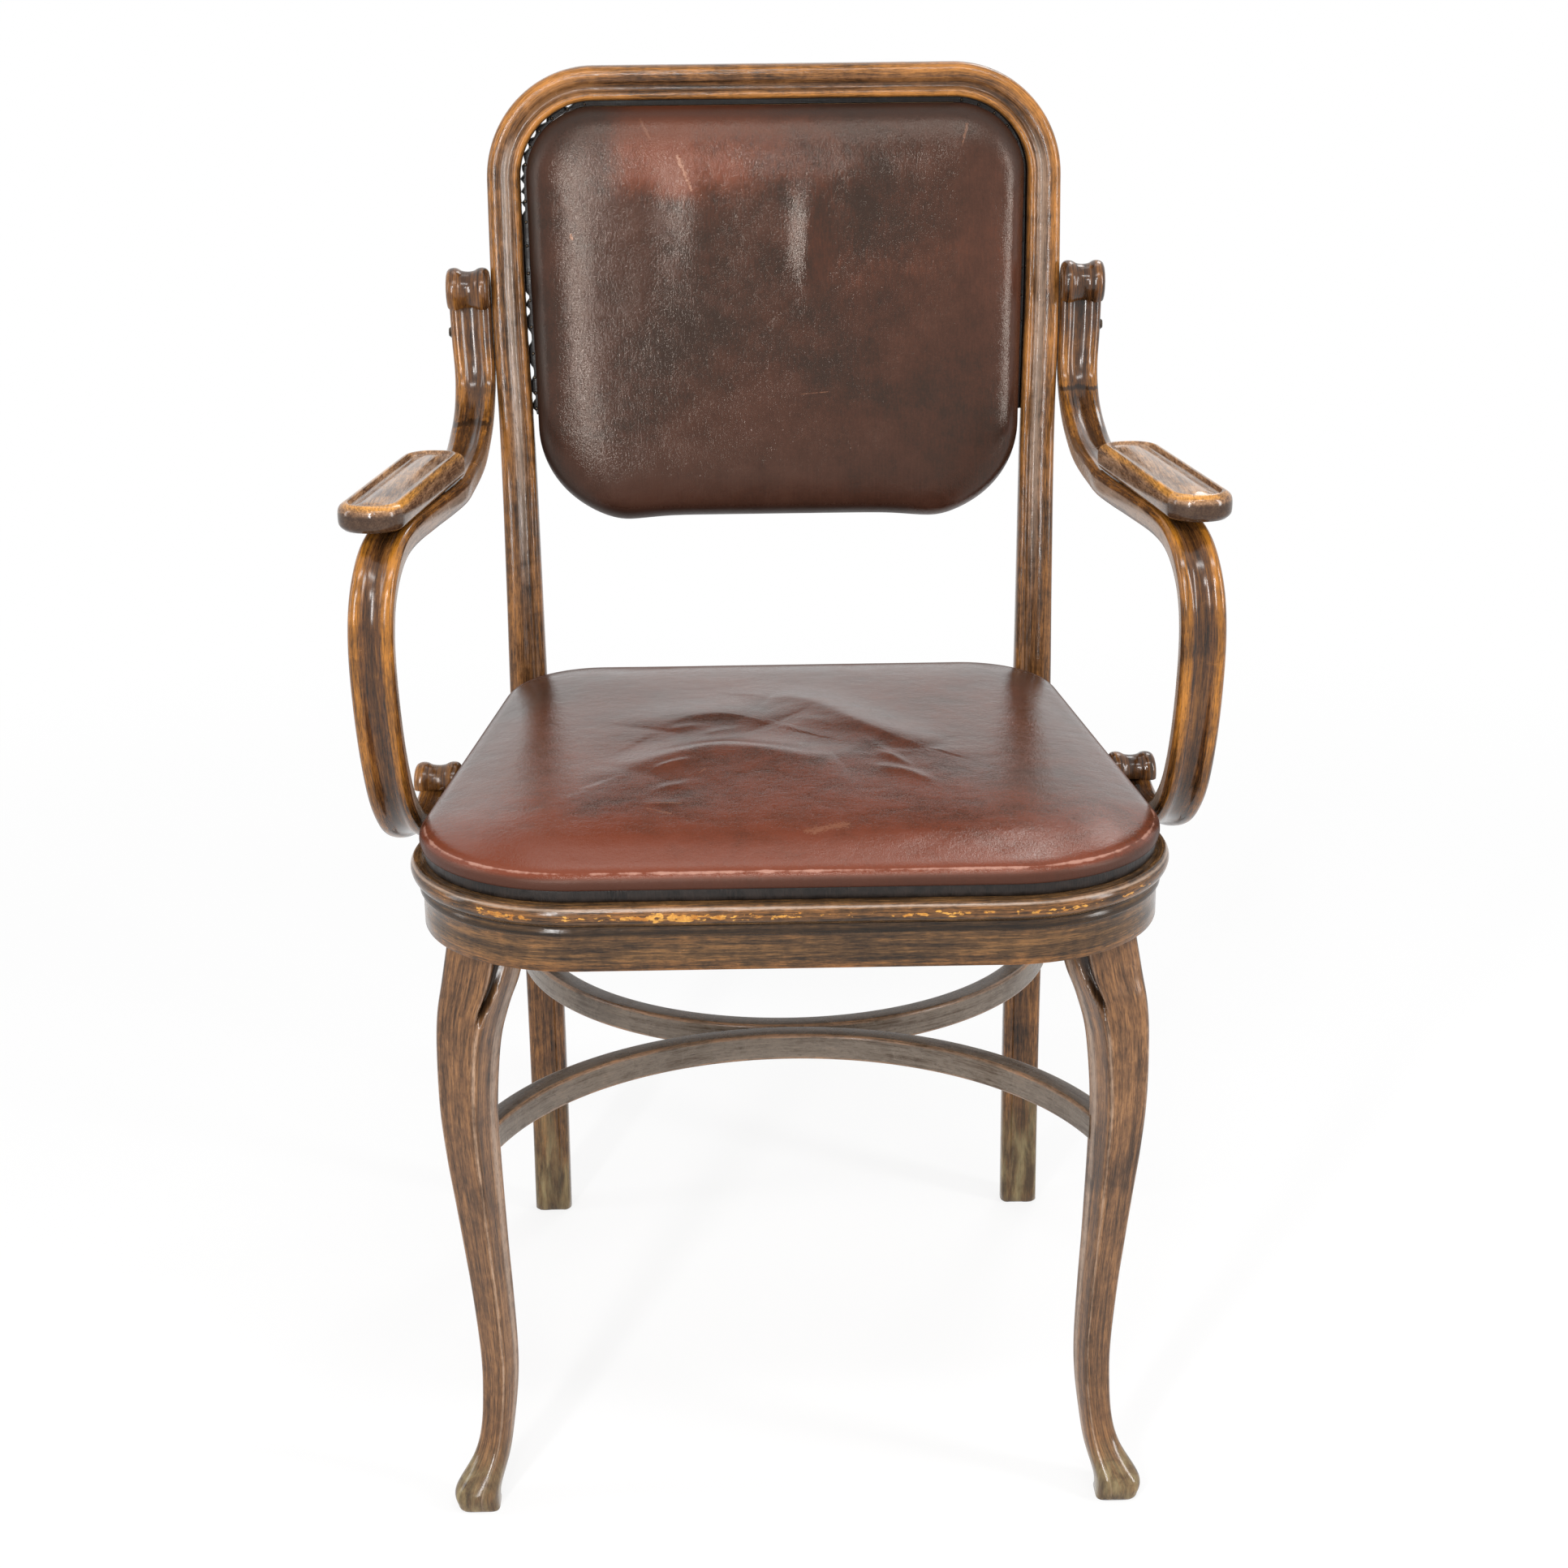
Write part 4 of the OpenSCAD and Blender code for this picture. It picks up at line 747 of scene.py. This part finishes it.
def rest_corner(k, inset):
    """One round corner of an armrest's outline, the corners counted round it."""
    r = min(REST_CORNER[k] - 0.5 * inset, 0.95 * (REST_W - inset))
    sx, sy = (1 if k in (0, 3) else -1), (1 if k < 2 else -1)
    a = np.radians(90 * k + np.linspace(0, 90, 15))
    return arc(sx * (REST_W - inset - r), sy * (REST_L / 2 - inset - r), r, a)


def rest_loop(inset):
    out = []
    for k in range(4):
        out.append(rest_corner(k, inset))
        here, there = out[-1][-1], rest_corner((k + 1) % 4, inset)[0]
        out.append(here + (there - here) * np.linspace(0, 1, 10)[1:-1, None])
    return np.vstack(out)


for side, word in ((-1, "left"), (1, "right")):
    rows, wear, pale = [], [], []
    for inset, height in rest_line:
        loop = rest_loop(inset)
        x = loop[:, 0] * math.cos(REST_SPLAY) - loop[:, 1] * math.sin(REST_SPLAY)
        y = loop[:, 0] * math.sin(REST_SPLAY) + loop[:, 1] * math.cos(REST_SPLAY)
        rows.append(np.stack([side * (REST_X + x), REST_Y + y, 0 * x + ARM_Z + ARM_T + REST_T + height], 1))
        # Worn rim and middle, rubbed most at the inner front corner; painted shade on the sides, darkest at the front
        # end, and in the channel; a painted pale sheen on the raised middle and low on the inner side
        rim = bell(inset, 3.4, 3.2) * step(height, -7, -1)
        rubbed = bell(np.hypot(loop[:, 0] + 19, loop[:, 1] + 72), 0, 30)
        tip = step(-loop[:, 1], 66, 88)
        wear.append((0.55 + 0.7 * rubbed) * rim + 0.3 * step(inset, 13, 17) - (0.3 + 0.7 * tip) * step(-height, 3, 8)
                    - 0.15 * bell(inset, 10.5, 2.2))
        pale.append(0.6 * bell(inset, 13, 4.5) + 0.35 * step(inset, 16, 19)
                    + 0.6 * (1 - tip) * step(-loop[:, 0], 14, 20) * bell(height, -13, 5) * step(-inset, -2, -0.5))
    piece(f"rest_board_{word}", rows, wood_rest, [f"armrest_{word}"], {"wear": wear, "pale": pale})


# ---- padded leather

# How firmly the leather is held, up to which distance from its tacked edge
HOLD = ((1.0, -1.5), (0.6, 2.0), (0.25, 9.0))
PRESSURE, MOST, FRAMES, EASINGS, PUCKER = 1.2, 0.003, 20, 60, 0.12
CLOTH = {"quality": 5, "mass": 0.4, "tension_stiffness": 18, "compression_stiffness": 18, "shear_stiffness": 8,
         "bending_stiffness": 2.5, "use_pressure": True, "uniform_pressure_force": PRESSURE,
         "vertex_group_mass": "held"}


def pad_rows(outline, deep, middle, reach, lift, low):
    """Rows of a pad, the height of each, and its distance from the edge.

    The turned-over edge, low, comes first, then loops down to the inset deep, and from there the last loop is
    drawn in to the middle.
    """
    far = np.r_[np.linspace(0, 1, 30) ** 1.6 * deep, deep + (1 - np.linspace(1, 0.015, 58)[1:]) * reach]
    inner = outline(deep)
    loops = [outline(e) if e <= deep else middle + (inner - middle) * (1 - (e - deep) / reach) for e in far]
    loops = [outline(i) for i, _ in low] + loops
    heights = [h for _, h in low] + [lift(e) for e in far]
    return loops, heights, np.r_[np.arange(-len(low), 0), far]


def settle(made, far, shrink):
    """Lets the leather find its own shape under the push of its stuffing, with the tacked edge held.

    Years of stretching have smoothed the leather, so its small puckers are eased out afterwards.
    """
    held = np.zeros(len(far))
    for weight, upto in HOLD[::-1]:
        held[far <= upto] = weight
    held = np.r_[np.repeat(held, AROUND), 1.0, 0.0]
    rest = np.array([v.co for v in made.data.vertices])
    group = made.vertex_groups.new(name="held")
    for weight, _ in HOLD:
        group.add([int(v) for v in np.nonzero(held == weight)[0]], weight, "REPLACE")
    cloth = made.modifiers.new("cloth", "CLOTH")
    for key, value in CLOTH.items():
        setattr(cloth.settings, key, value)
    cloth.settings.shrink_min = shrink
    cloth.settings.effector_weights.gravity = 0
    cloth.collision_settings.use_self_collision = False
    cloth.point_cache.frame_start, cloth.point_cache.frame_end = 1, FRAMES
    scene = bpy.context.scene
    scene.frame_start, scene.frame_end = 1, FRAMES
    for f in range(1, FRAMES + 1):
        scene.frame_set(f)
    moved = made.evaluated_get(bpy.context.evaluated_depsgraph_get()).to_mesh()
    there = np.array([v.co for v in moved.vertices])
    made.modifiers.remove(cloth)
    made.vertex_groups.remove(group)
    scene.frame_set(1)
    shift = there - rest
    length = np.maximum(np.linalg.norm(shift, axis=1), 1e-9)
    shift *= (MOST * np.tanh(length / MOST) / length)[:, None]
    grid = shift[:len(far) * AROUND].reshape(len(far), AROUND, 3) * step(far, 2, 34)[:, None, None]
    smooth = grid
    for _ in range(EASINGS):
        above, below = np.concatenate([smooth[:1], smooth[:-1]]), np.concatenate([smooth[1:], smooth[-1:]])
        smooth = 0.2 * (smooth + above + below + np.roll(smooth, 1, 1) + np.roll(smooth, -1, 1))
    smooth = smooth + PUCKER * (grid - smooth) * step(far[-1] - far, 0, 60)[:, None, None]
    shift = np.vstack([smooth.reshape(-1, 3), smooth[0].mean(0), smooth[-1].mean(0)])
    made.data.vertices.foreach_set("co", (rest + shift).astype(np.float32).ravel())
    made.data.update()


def press(made, far, start, axis, change):
    """Moves a pad's points along one axis by change(points) millimetres, away from its edge."""
    co = np.array([v.co for v in made.data.vertices]) / MM
    inside = np.r_[np.repeat(step(far, start, 40), AROUND), 0, 1]
    co[:, axis] += inside * change(co)
    made.data.vertices.foreach_set("co", (co * MM).astype(np.float32).ravel())
    made.data.update()


def crease(x, y, path, high, front, back):
    """Height of one fold along a path in plan, with its own width on each side, fading at both ends."""
    path = curve(path, 8)
    best, where, sign = np.full(x.shape, 1e9), np.zeros(x.shape), np.zeros(x.shape)
    for i, (a, b) in enumerate(zip(path[:-1], path[1:])):
        d = b - a
        t = np.clip(((x - a[0]) * d[0] + (y - a[1]) * d[1]) / (d @ d), 0, 1)
        gap = np.hypot(x - a[0] - t * d[0], y - a[1] - t * d[1])
        near = gap < best
        best = np.where(near, gap, best)
        where = np.where(near, (i + t) / (len(path) - 1), where)
        sign = np.where(near, (y - a[1]) * d[0] - (x - a[0]) * d[1], sign)
    fall = np.where(sign > 0, (best / back) ** 2, (best / front) ** 1.25)
    return high * np.exp(-fall) * np.sin(np.pi * np.clip(where, 0.03, 0.97)) ** 0.6


# Path in plan, height, and width in front of the fold and behind it
SEAT_FOLDS = [
    ([(-112, -112), (-90, -88), (-68, -74), (-44, -66), (-16, -74), (10, -86), (38, -82)], 6.0, 46, 24),
    ([(-14, 66), (12, 54), (32, 26), (50, -6), (68, -32), (84, -52), (102, -68)], 6.4, 24, 30),
    ([(-94, -16), (-82, 4), (-64, 16), (-44, 19), (-24, 10), (-10, -2)], 4.0, 17, 40),
    ([(-92, -108), (-82, -100), (-72, -95)], 1.3, 6, 3), ([(-90, -150), (-80, -142), (-70, -137)], 1.0, 8, 4),
    ([(-98, -176), (-86, -177), (-74, -178)], 0.6, 5, 4), ([(64, -106), (72, -112), (84, -120), (97, -138)], 1.6, 9, 6),
    ([(56, -44), (66, -66), (78, -94)], 0.7, 7, 5), ([(70, -80), (78, -92), (86, -108)], 1.0, 5, 4),
    ([(-84, -14), (-74, -8), (-64, -4)], 0.7, 6, 5), ([(-60, -24), (-50, -16), (-38, -10)], 0.7, 6, 5),
    ([(8, 10), (22, 2), (34, -14)], 0.5, 8, 7),
]
SEAT_INSET = 9.5
# The leather turns over the edge of the board and hangs a little way down outside the tape
SEAT_LIP = [(1.2, 0.0), (-0.4, -0.1), (-0.9, -0.7), (-1.2, -1.3), (-1.7, -1.5), (-2.1, -1.0), (-2.5, 0.2), (-2.7, 2.0),
            (-2.6, 4.0)]


def seat_loop(inset):
    bulge = 2.2 * math.exp(-max(inset, 0) / 5) * (inset >= 0)
    return round_loop(FRONT, SEAT_REAR, SEAT_INSET + inset - bulge, AROUND)


def seat_lift(e):
    return SEAT_CROWN * (1 - 0.25 * math.exp(-e / 3.2) - 0.5 * math.exp(-e / 50))


loops, heights, far = pad_rows(seat_loop, 46, np.zeros(2), 150, seat_lift, SEAT_LIP)
rows = np.array([np.column_stack([loop, np.full(AROUND, BOARD_TOP + FIT + h)]) for loop, h in zip(loops, heights)])
px, py = rows[..., 0], rows[..., 1]
tint = 0.1 + 0.75 * step(py, -90, -285) - 0.8 * step(py, 60, 205) + 0.35 * bell(np.hypot(px + 10, py + 110), 0, 80) \
    - 0.55 * step(np.abs(px), 140, 215) * step(py, -190, -20) + 0.3 * bell(px, -170, 60) * step(py, -120, -230)
# A painted highlight line along the front roll, and painted shade with a matt finish on the lip below it
rim = 0.95 * bell(far, 2.6, 1.1)[:, None] * step(-py, 60, 200)
dull = step(-far, -1.6, 0.4)[:, None]
seat = piece("seat_leather", rows, leather_seat, [], {"tint": tint, "rim": rim, "dull": dull}, sharp=75)
settle(seat, far, -0.004)
press(seat, far, 8, 2, lambda co: sum(crease(co[:, 0], co[:, 1], *fold) for fold in SEAT_FOLDS))
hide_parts("seat_cushion")


def back_lift(e):
    return BACK_CROWN * (1 - 0.35 * math.exp(-e / 5) - 0.2 * math.exp(-e / 15) - 0.08 * math.exp(-e / 40))


def back_loop(inset):
    return round_loop(PAD_LOW, PAD_TOP, inset, AROUND)


loops, heights, far = pad_rows(back_loop, 52, PAD_MIDDLE, 100, back_lift,
                               [(2.0, 0.1), (1.1, 0.2), (0.4, 3.2), (0.1, 6.0)])
for i, loop in enumerate(loops):
    fuller = math.exp(-max(far[i], 0) / 12)
    low_corner = bell(loop[:, 0], 130, 30) * bell(loop[:, 1], 660, 26)
    loop[:, 0] += fuller * (1.6 * step(loop[:, 0], 60, 120) + 2.2 * low_corner)
    loop[:, 1] -= fuller * 2.6 * bell(np.abs(loop[:, 0]), 122, 26) * step(-loop[:, 1], -690, -650)
rows = np.array([np.column_stack([loop[:, 0], rod_back(loop[:, 1]) + BOARD_BACK - FIT - h, loop[:, 1]])
                 for loop, h in zip(loops, heights)])
px, pz = rows[..., 0], rows[..., 2]
# Painted shade with a matt finish on the rolled edges, except low on the right side, and further in along the top
dull = 0.85 * bell(far, 4, 6.5)[:, None] * (1 - step(px, 95, 125) * step(-pz, -895, -850)) \
    + 0.35 * bell(far, 17, 9)[:, None] * step(pz, 885, 905)
tint = 0.72 * bell(px, -49, 62) * step(pz, 846, 890) \
    + 0.45 * step(px, -150, -110) * step(px, -50, -80) * step(pz, 850, 872) \
    + 0.25 * bell(np.hypot(px + 62, (pz - 845) * 0.8), 0, 34) - 0.05 \
    + 0.3 * bell(px, 60, 80) * bell(pz, 850, 90) - 0.3 * bell(pz, 640, 50) \
    - 0.35 * bell(np.hypot(px + 120, pz - 790), 0, 60)
back = piece("back_leather", rows, leather_back, [], {"tint": tint, "dull": dull}, sharp=75)
settle(back, far, -0.003)
# Shallow waves in the back: how far forward, and the middle and width of each across and up
BACK_WAVES = [(2.4, 26, 11, 832, 34), (0.8, -62, 14, 850, 50), (-0.7, -95, 16, 860, 60), (0.6, 60, 16, 880, 40)]
press(back, far, 10, 1, lambda co: -sum(
    out * bell(co[:, 0], x, wide) * bell(co[:, 2], z, tall) for out, x, wide, z, tall in BACK_WAVES))
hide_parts("back_cushion")


def cover_lift(e):
    return 2.0 * (1 - math.exp(-e / 1.5)) + 2.2 * (1 - math.exp(-e / 45)) - 0.9 * math.exp(-((e - 8) / 1.4) ** 2)


loops, heights, far = pad_rows(lambda inset: back_loop(2 + inset), 52, PAD_MIDDLE, 100, cover_lift,
                               [(1.5, 0.02), (0.6, 0.02), (0.2, 0.2)])
rows = np.array([np.column_stack([loop[:, 0], rod_back(loop[:, 1]) + BOARD_BACK + BACK_T + FIT / 2 + h,
                                  loop[:, 1]]) for loop, h in zip(loops, heights)])
px, pz = rows[..., 0], rows[..., 2]
slack = step(far, 12, 60)[:, None] * (crease(px, pz, [(-90, 730), (-40, 765), (20, 778), (70, 800)], 0.9, 14, 20)
                                      + crease(px, pz, [(80, 700), (60, 740), (64, 800)], 0.7, 12, 16))
rows[..., 1] += slack
piece("cover_leather", rows, leather_rear, ["back_rear_cover"],
      {"tint": 0.25 * bell(pz, 870, 60) - 0.3 * bell(pz, 640, 40)}, sharp=75)

# ---- trims and tacks

trim_line = curve([(9.9, 0.3), (9.4, 2.5), (9.3, 5), (9.4, 7.6), (9.9, 9.6), (11, 9.9), (12.2, 9.6),
                   (12.6, 5), (12.2, 0.3), (11, 0.05)], 3, closed=True)
trim_rows = [np.column_stack([round_loop(FRONT, SEAT_REAR, inset, 400), np.full(400, RING_TOP + height)])
             for inset, height in trim_line]
piece("seat_tape", trim_rows, trim_dark, ["seat_edging"], round_trip=True, grain="cols", sharp=80)

LEDGE_Z, TAPE_BACK = 694.0, 2.9
heights = np.arange(LEDGE_Z, CORNER_Z, 2.0)
ledge_side = np.vstack([np.column_stack([np.interp(heights, straight[:, 1], straight[:, k]) for k in range(5)]),
                        rod_side[rod_side[:, 2] > 0]])
# Places on the left where light shows between the tape and the upright: height, then degrees round the corner
# counted on from it, and half the length of each
SLOTS = [(694, 3.4), (707, 3), (727, 5), (754, 5.5), (774, 3), (785, 3), (853, 3.2), (862, 3.2), (871, 3.2), (880, 3),
         (889, 3), (900, 2.6), (911, 2.6), (924, 2.6), (947, 2.2)]
tape = curve([(0, 2.4), (0, 7.8), (1.0, 8), (3.6, 8), (4.6, 7.8), (4.6, 2.2), (3.6, 2), (1.0, 2)], 2, closed=True)
ledge = []
for side, stations in ((1, ledge_side), (-1, ledge_side[::-1])):
    for s in stations:
        at = s[1] if s[2] == 0 else CORNER_Z + math.degrees(s[2])
        gap = sum(np.exp(-((at - m) / w) ** 4) for m, w in SLOTS) if side < 0 else 0
        outer = np.where(tape[:, 0] < 2, -0.9 * step(tape[:, 1], 2.5, 5) + TAPE_BACK * min(1, gap), 0)
        ledge.append(rod_points(s, -s[3] - tape[:, 0] - outer, tape[:, 1], side))
piece("back_tape", ledge, trim_dark, ["back_ledge"], shift=4.0, sharp=80)

LOOKS = {name: plain for name in ("seat_board", "back_board", "corner_block_left", "corner_block_right",
                                  "stretcher_dowels", "arm_spacers")}
LOOKS |= {"back_nails": tack, "arm_top_screws": tack}
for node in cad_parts.values():
    if not node.hide_render:
        node.data.materials.clear()
        node.data.materials.append(LOOKS.get(node.name, steel))

# ---- light, floor and camera

scene = bpy.context.scene
scene.view_settings.view_transform = "Standard"


def white_where_seen(g):
    """1 for rays from the camera, from gloss and through glass, and 0 for the light that falls on things."""
    path = g.node("ShaderNodeLightPath").outputs
    seen = g.sum("MAXIMUM", path["Is Camera Ray"], path["Is Glossy Ray"])
    return g.sum("MAXIMUM", seen, path["Is Transmission Ray"])


SKY, FLOOR_HALF, FLOOR_TONE = 0.55, 9, 0.86
g = Graph("studio", world=True)
scene.world = g.owner
background = g.tree.nodes["Background"].inputs
g.put(background[0], (1, 1, 1, 1))
g.put(background[1], g.node("ShaderNodeMapRange", {0: white_where_seen(g), 3: SKY, 4: 1.0}).outputs[0])

floor_mesh = bpy.data.meshes.new("floor")
floor_mesh.from_pydata([(x * FLOOR_HALF, y * FLOOR_HALF, 0) for x, y in ((-1, -1), (1, -1), (1, 1), (-1, 1))],
                       [], [(0, 1, 2, 3)])
floor = bpy.data.objects.new("floor", floor_mesh)
scene.collection.objects.link(floor)
g = Graph("floor_paint")
g.finish((FLOOR_TONE, FLOOR_TONE, FLOOR_TONE, 1), 0.9, Specular_IOR_Level=0.0)
glow = g.node("ShaderNodeEmission", {0: (1, 1, 1, 1), 1: 1.0}).outputs[0]
far_off = g.vector("DISTANCE", g.place(), (0, 0, 0), 1)
share = g.sum("MULTIPLY", white_where_seen(g), g.step(far_off, 0.7, 2.2, 0.8, 1.0))
mixed = g.node("ShaderNodeMixShader", {0: share, 1: g.shader.outputs[0], 2: glow}).outputs[0]
g.put(g.tree.nodes["Material Output"].inputs[0], mixed)
floor_mesh.materials.append(g.owner)


def lamp(name, place, aim, width, height, power):
    """A soft box of a width and height in metres, at a place and turned to its aim."""
    data = bpy.data.lights.new(name, "AREA")
    data.shape = "RECTANGLE"
    data.size, data.size_y, data.energy = width, height, power
    made = bpy.data.objects.new(name, data)
    made.location = place
    made.rotation_mode = "QUATERNION"
    made.rotation_quaternion = (Vector(aim) - Vector(place)).to_track_quat("-Z", "Y")
    scene.collection.objects.link(made)


lamp("box_left", (-0.86, -2.24, 1.35), (0, 0, 0.7), 0.14, 1.5, 34)
lamp("box_right", (1.9, -0.9, 1.3), (0, 0, 0.7), 0.34, 1.5, 24)
lamp("side_left", (-2.1, -0.2, 1.3), (0, 0, 0.6), 0.4, 1.5, 9)
lamp("key", (-0.25, -2.2, 2.0), (0, 0, 0.7), 0.22, 0.22, 9)
lamp("box_front", (0.15, -1.25, 2.55), (0, -0.2, 0.5), 1.7, 0.22, 17)
lamp("box_top", (0.1, 0.9, 2.5), (0, 0, 0.5), 1.4, 0.6, 4)
lamp("box_rear", (0.9, 2.0, 2.6), (0, 0.1, 0.6), 0.7, 1.0, 14)

# Fitted to the photograph: the focal length is in its pixels
CAMERA = (-0.02974, -1.91578, 1.09532)
PITCH, ROLL, YAW = (math.radians(a) for a in (18.442, 0.603, 0.855))
FOCAL, PICTURE, SENSOR = 3323.8, 1932, 36
forward = Vector((math.sin(YAW) * math.cos(PITCH), math.cos(YAW) * math.cos(PITCH), -math.sin(PITCH)))
level = Vector((math.cos(YAW), -math.sin(YAW), 0))
upright = level.cross(forward)
right = level * math.cos(ROLL) - upright * math.sin(ROLL)
up = upright * math.cos(ROLL) + level * math.sin(ROLL)
data = bpy.data.cameras.new("camera")
data.sensor_width = SENSOR
data.lens = FOCAL / PICTURE * SENSOR
camera = bpy.data.objects.new("camera", data)
camera.matrix_world = Matrix((
    (right.x, up.x, -forward.x, CAMERA[0]), (right.y, up.y, -forward.y, CAMERA[1]),
    (right.z, up.z, -forward.z, CAMERA[2]), (0, 0, 0, 1),
))
scene.collection.objects.link(camera)
scene.camera = camera
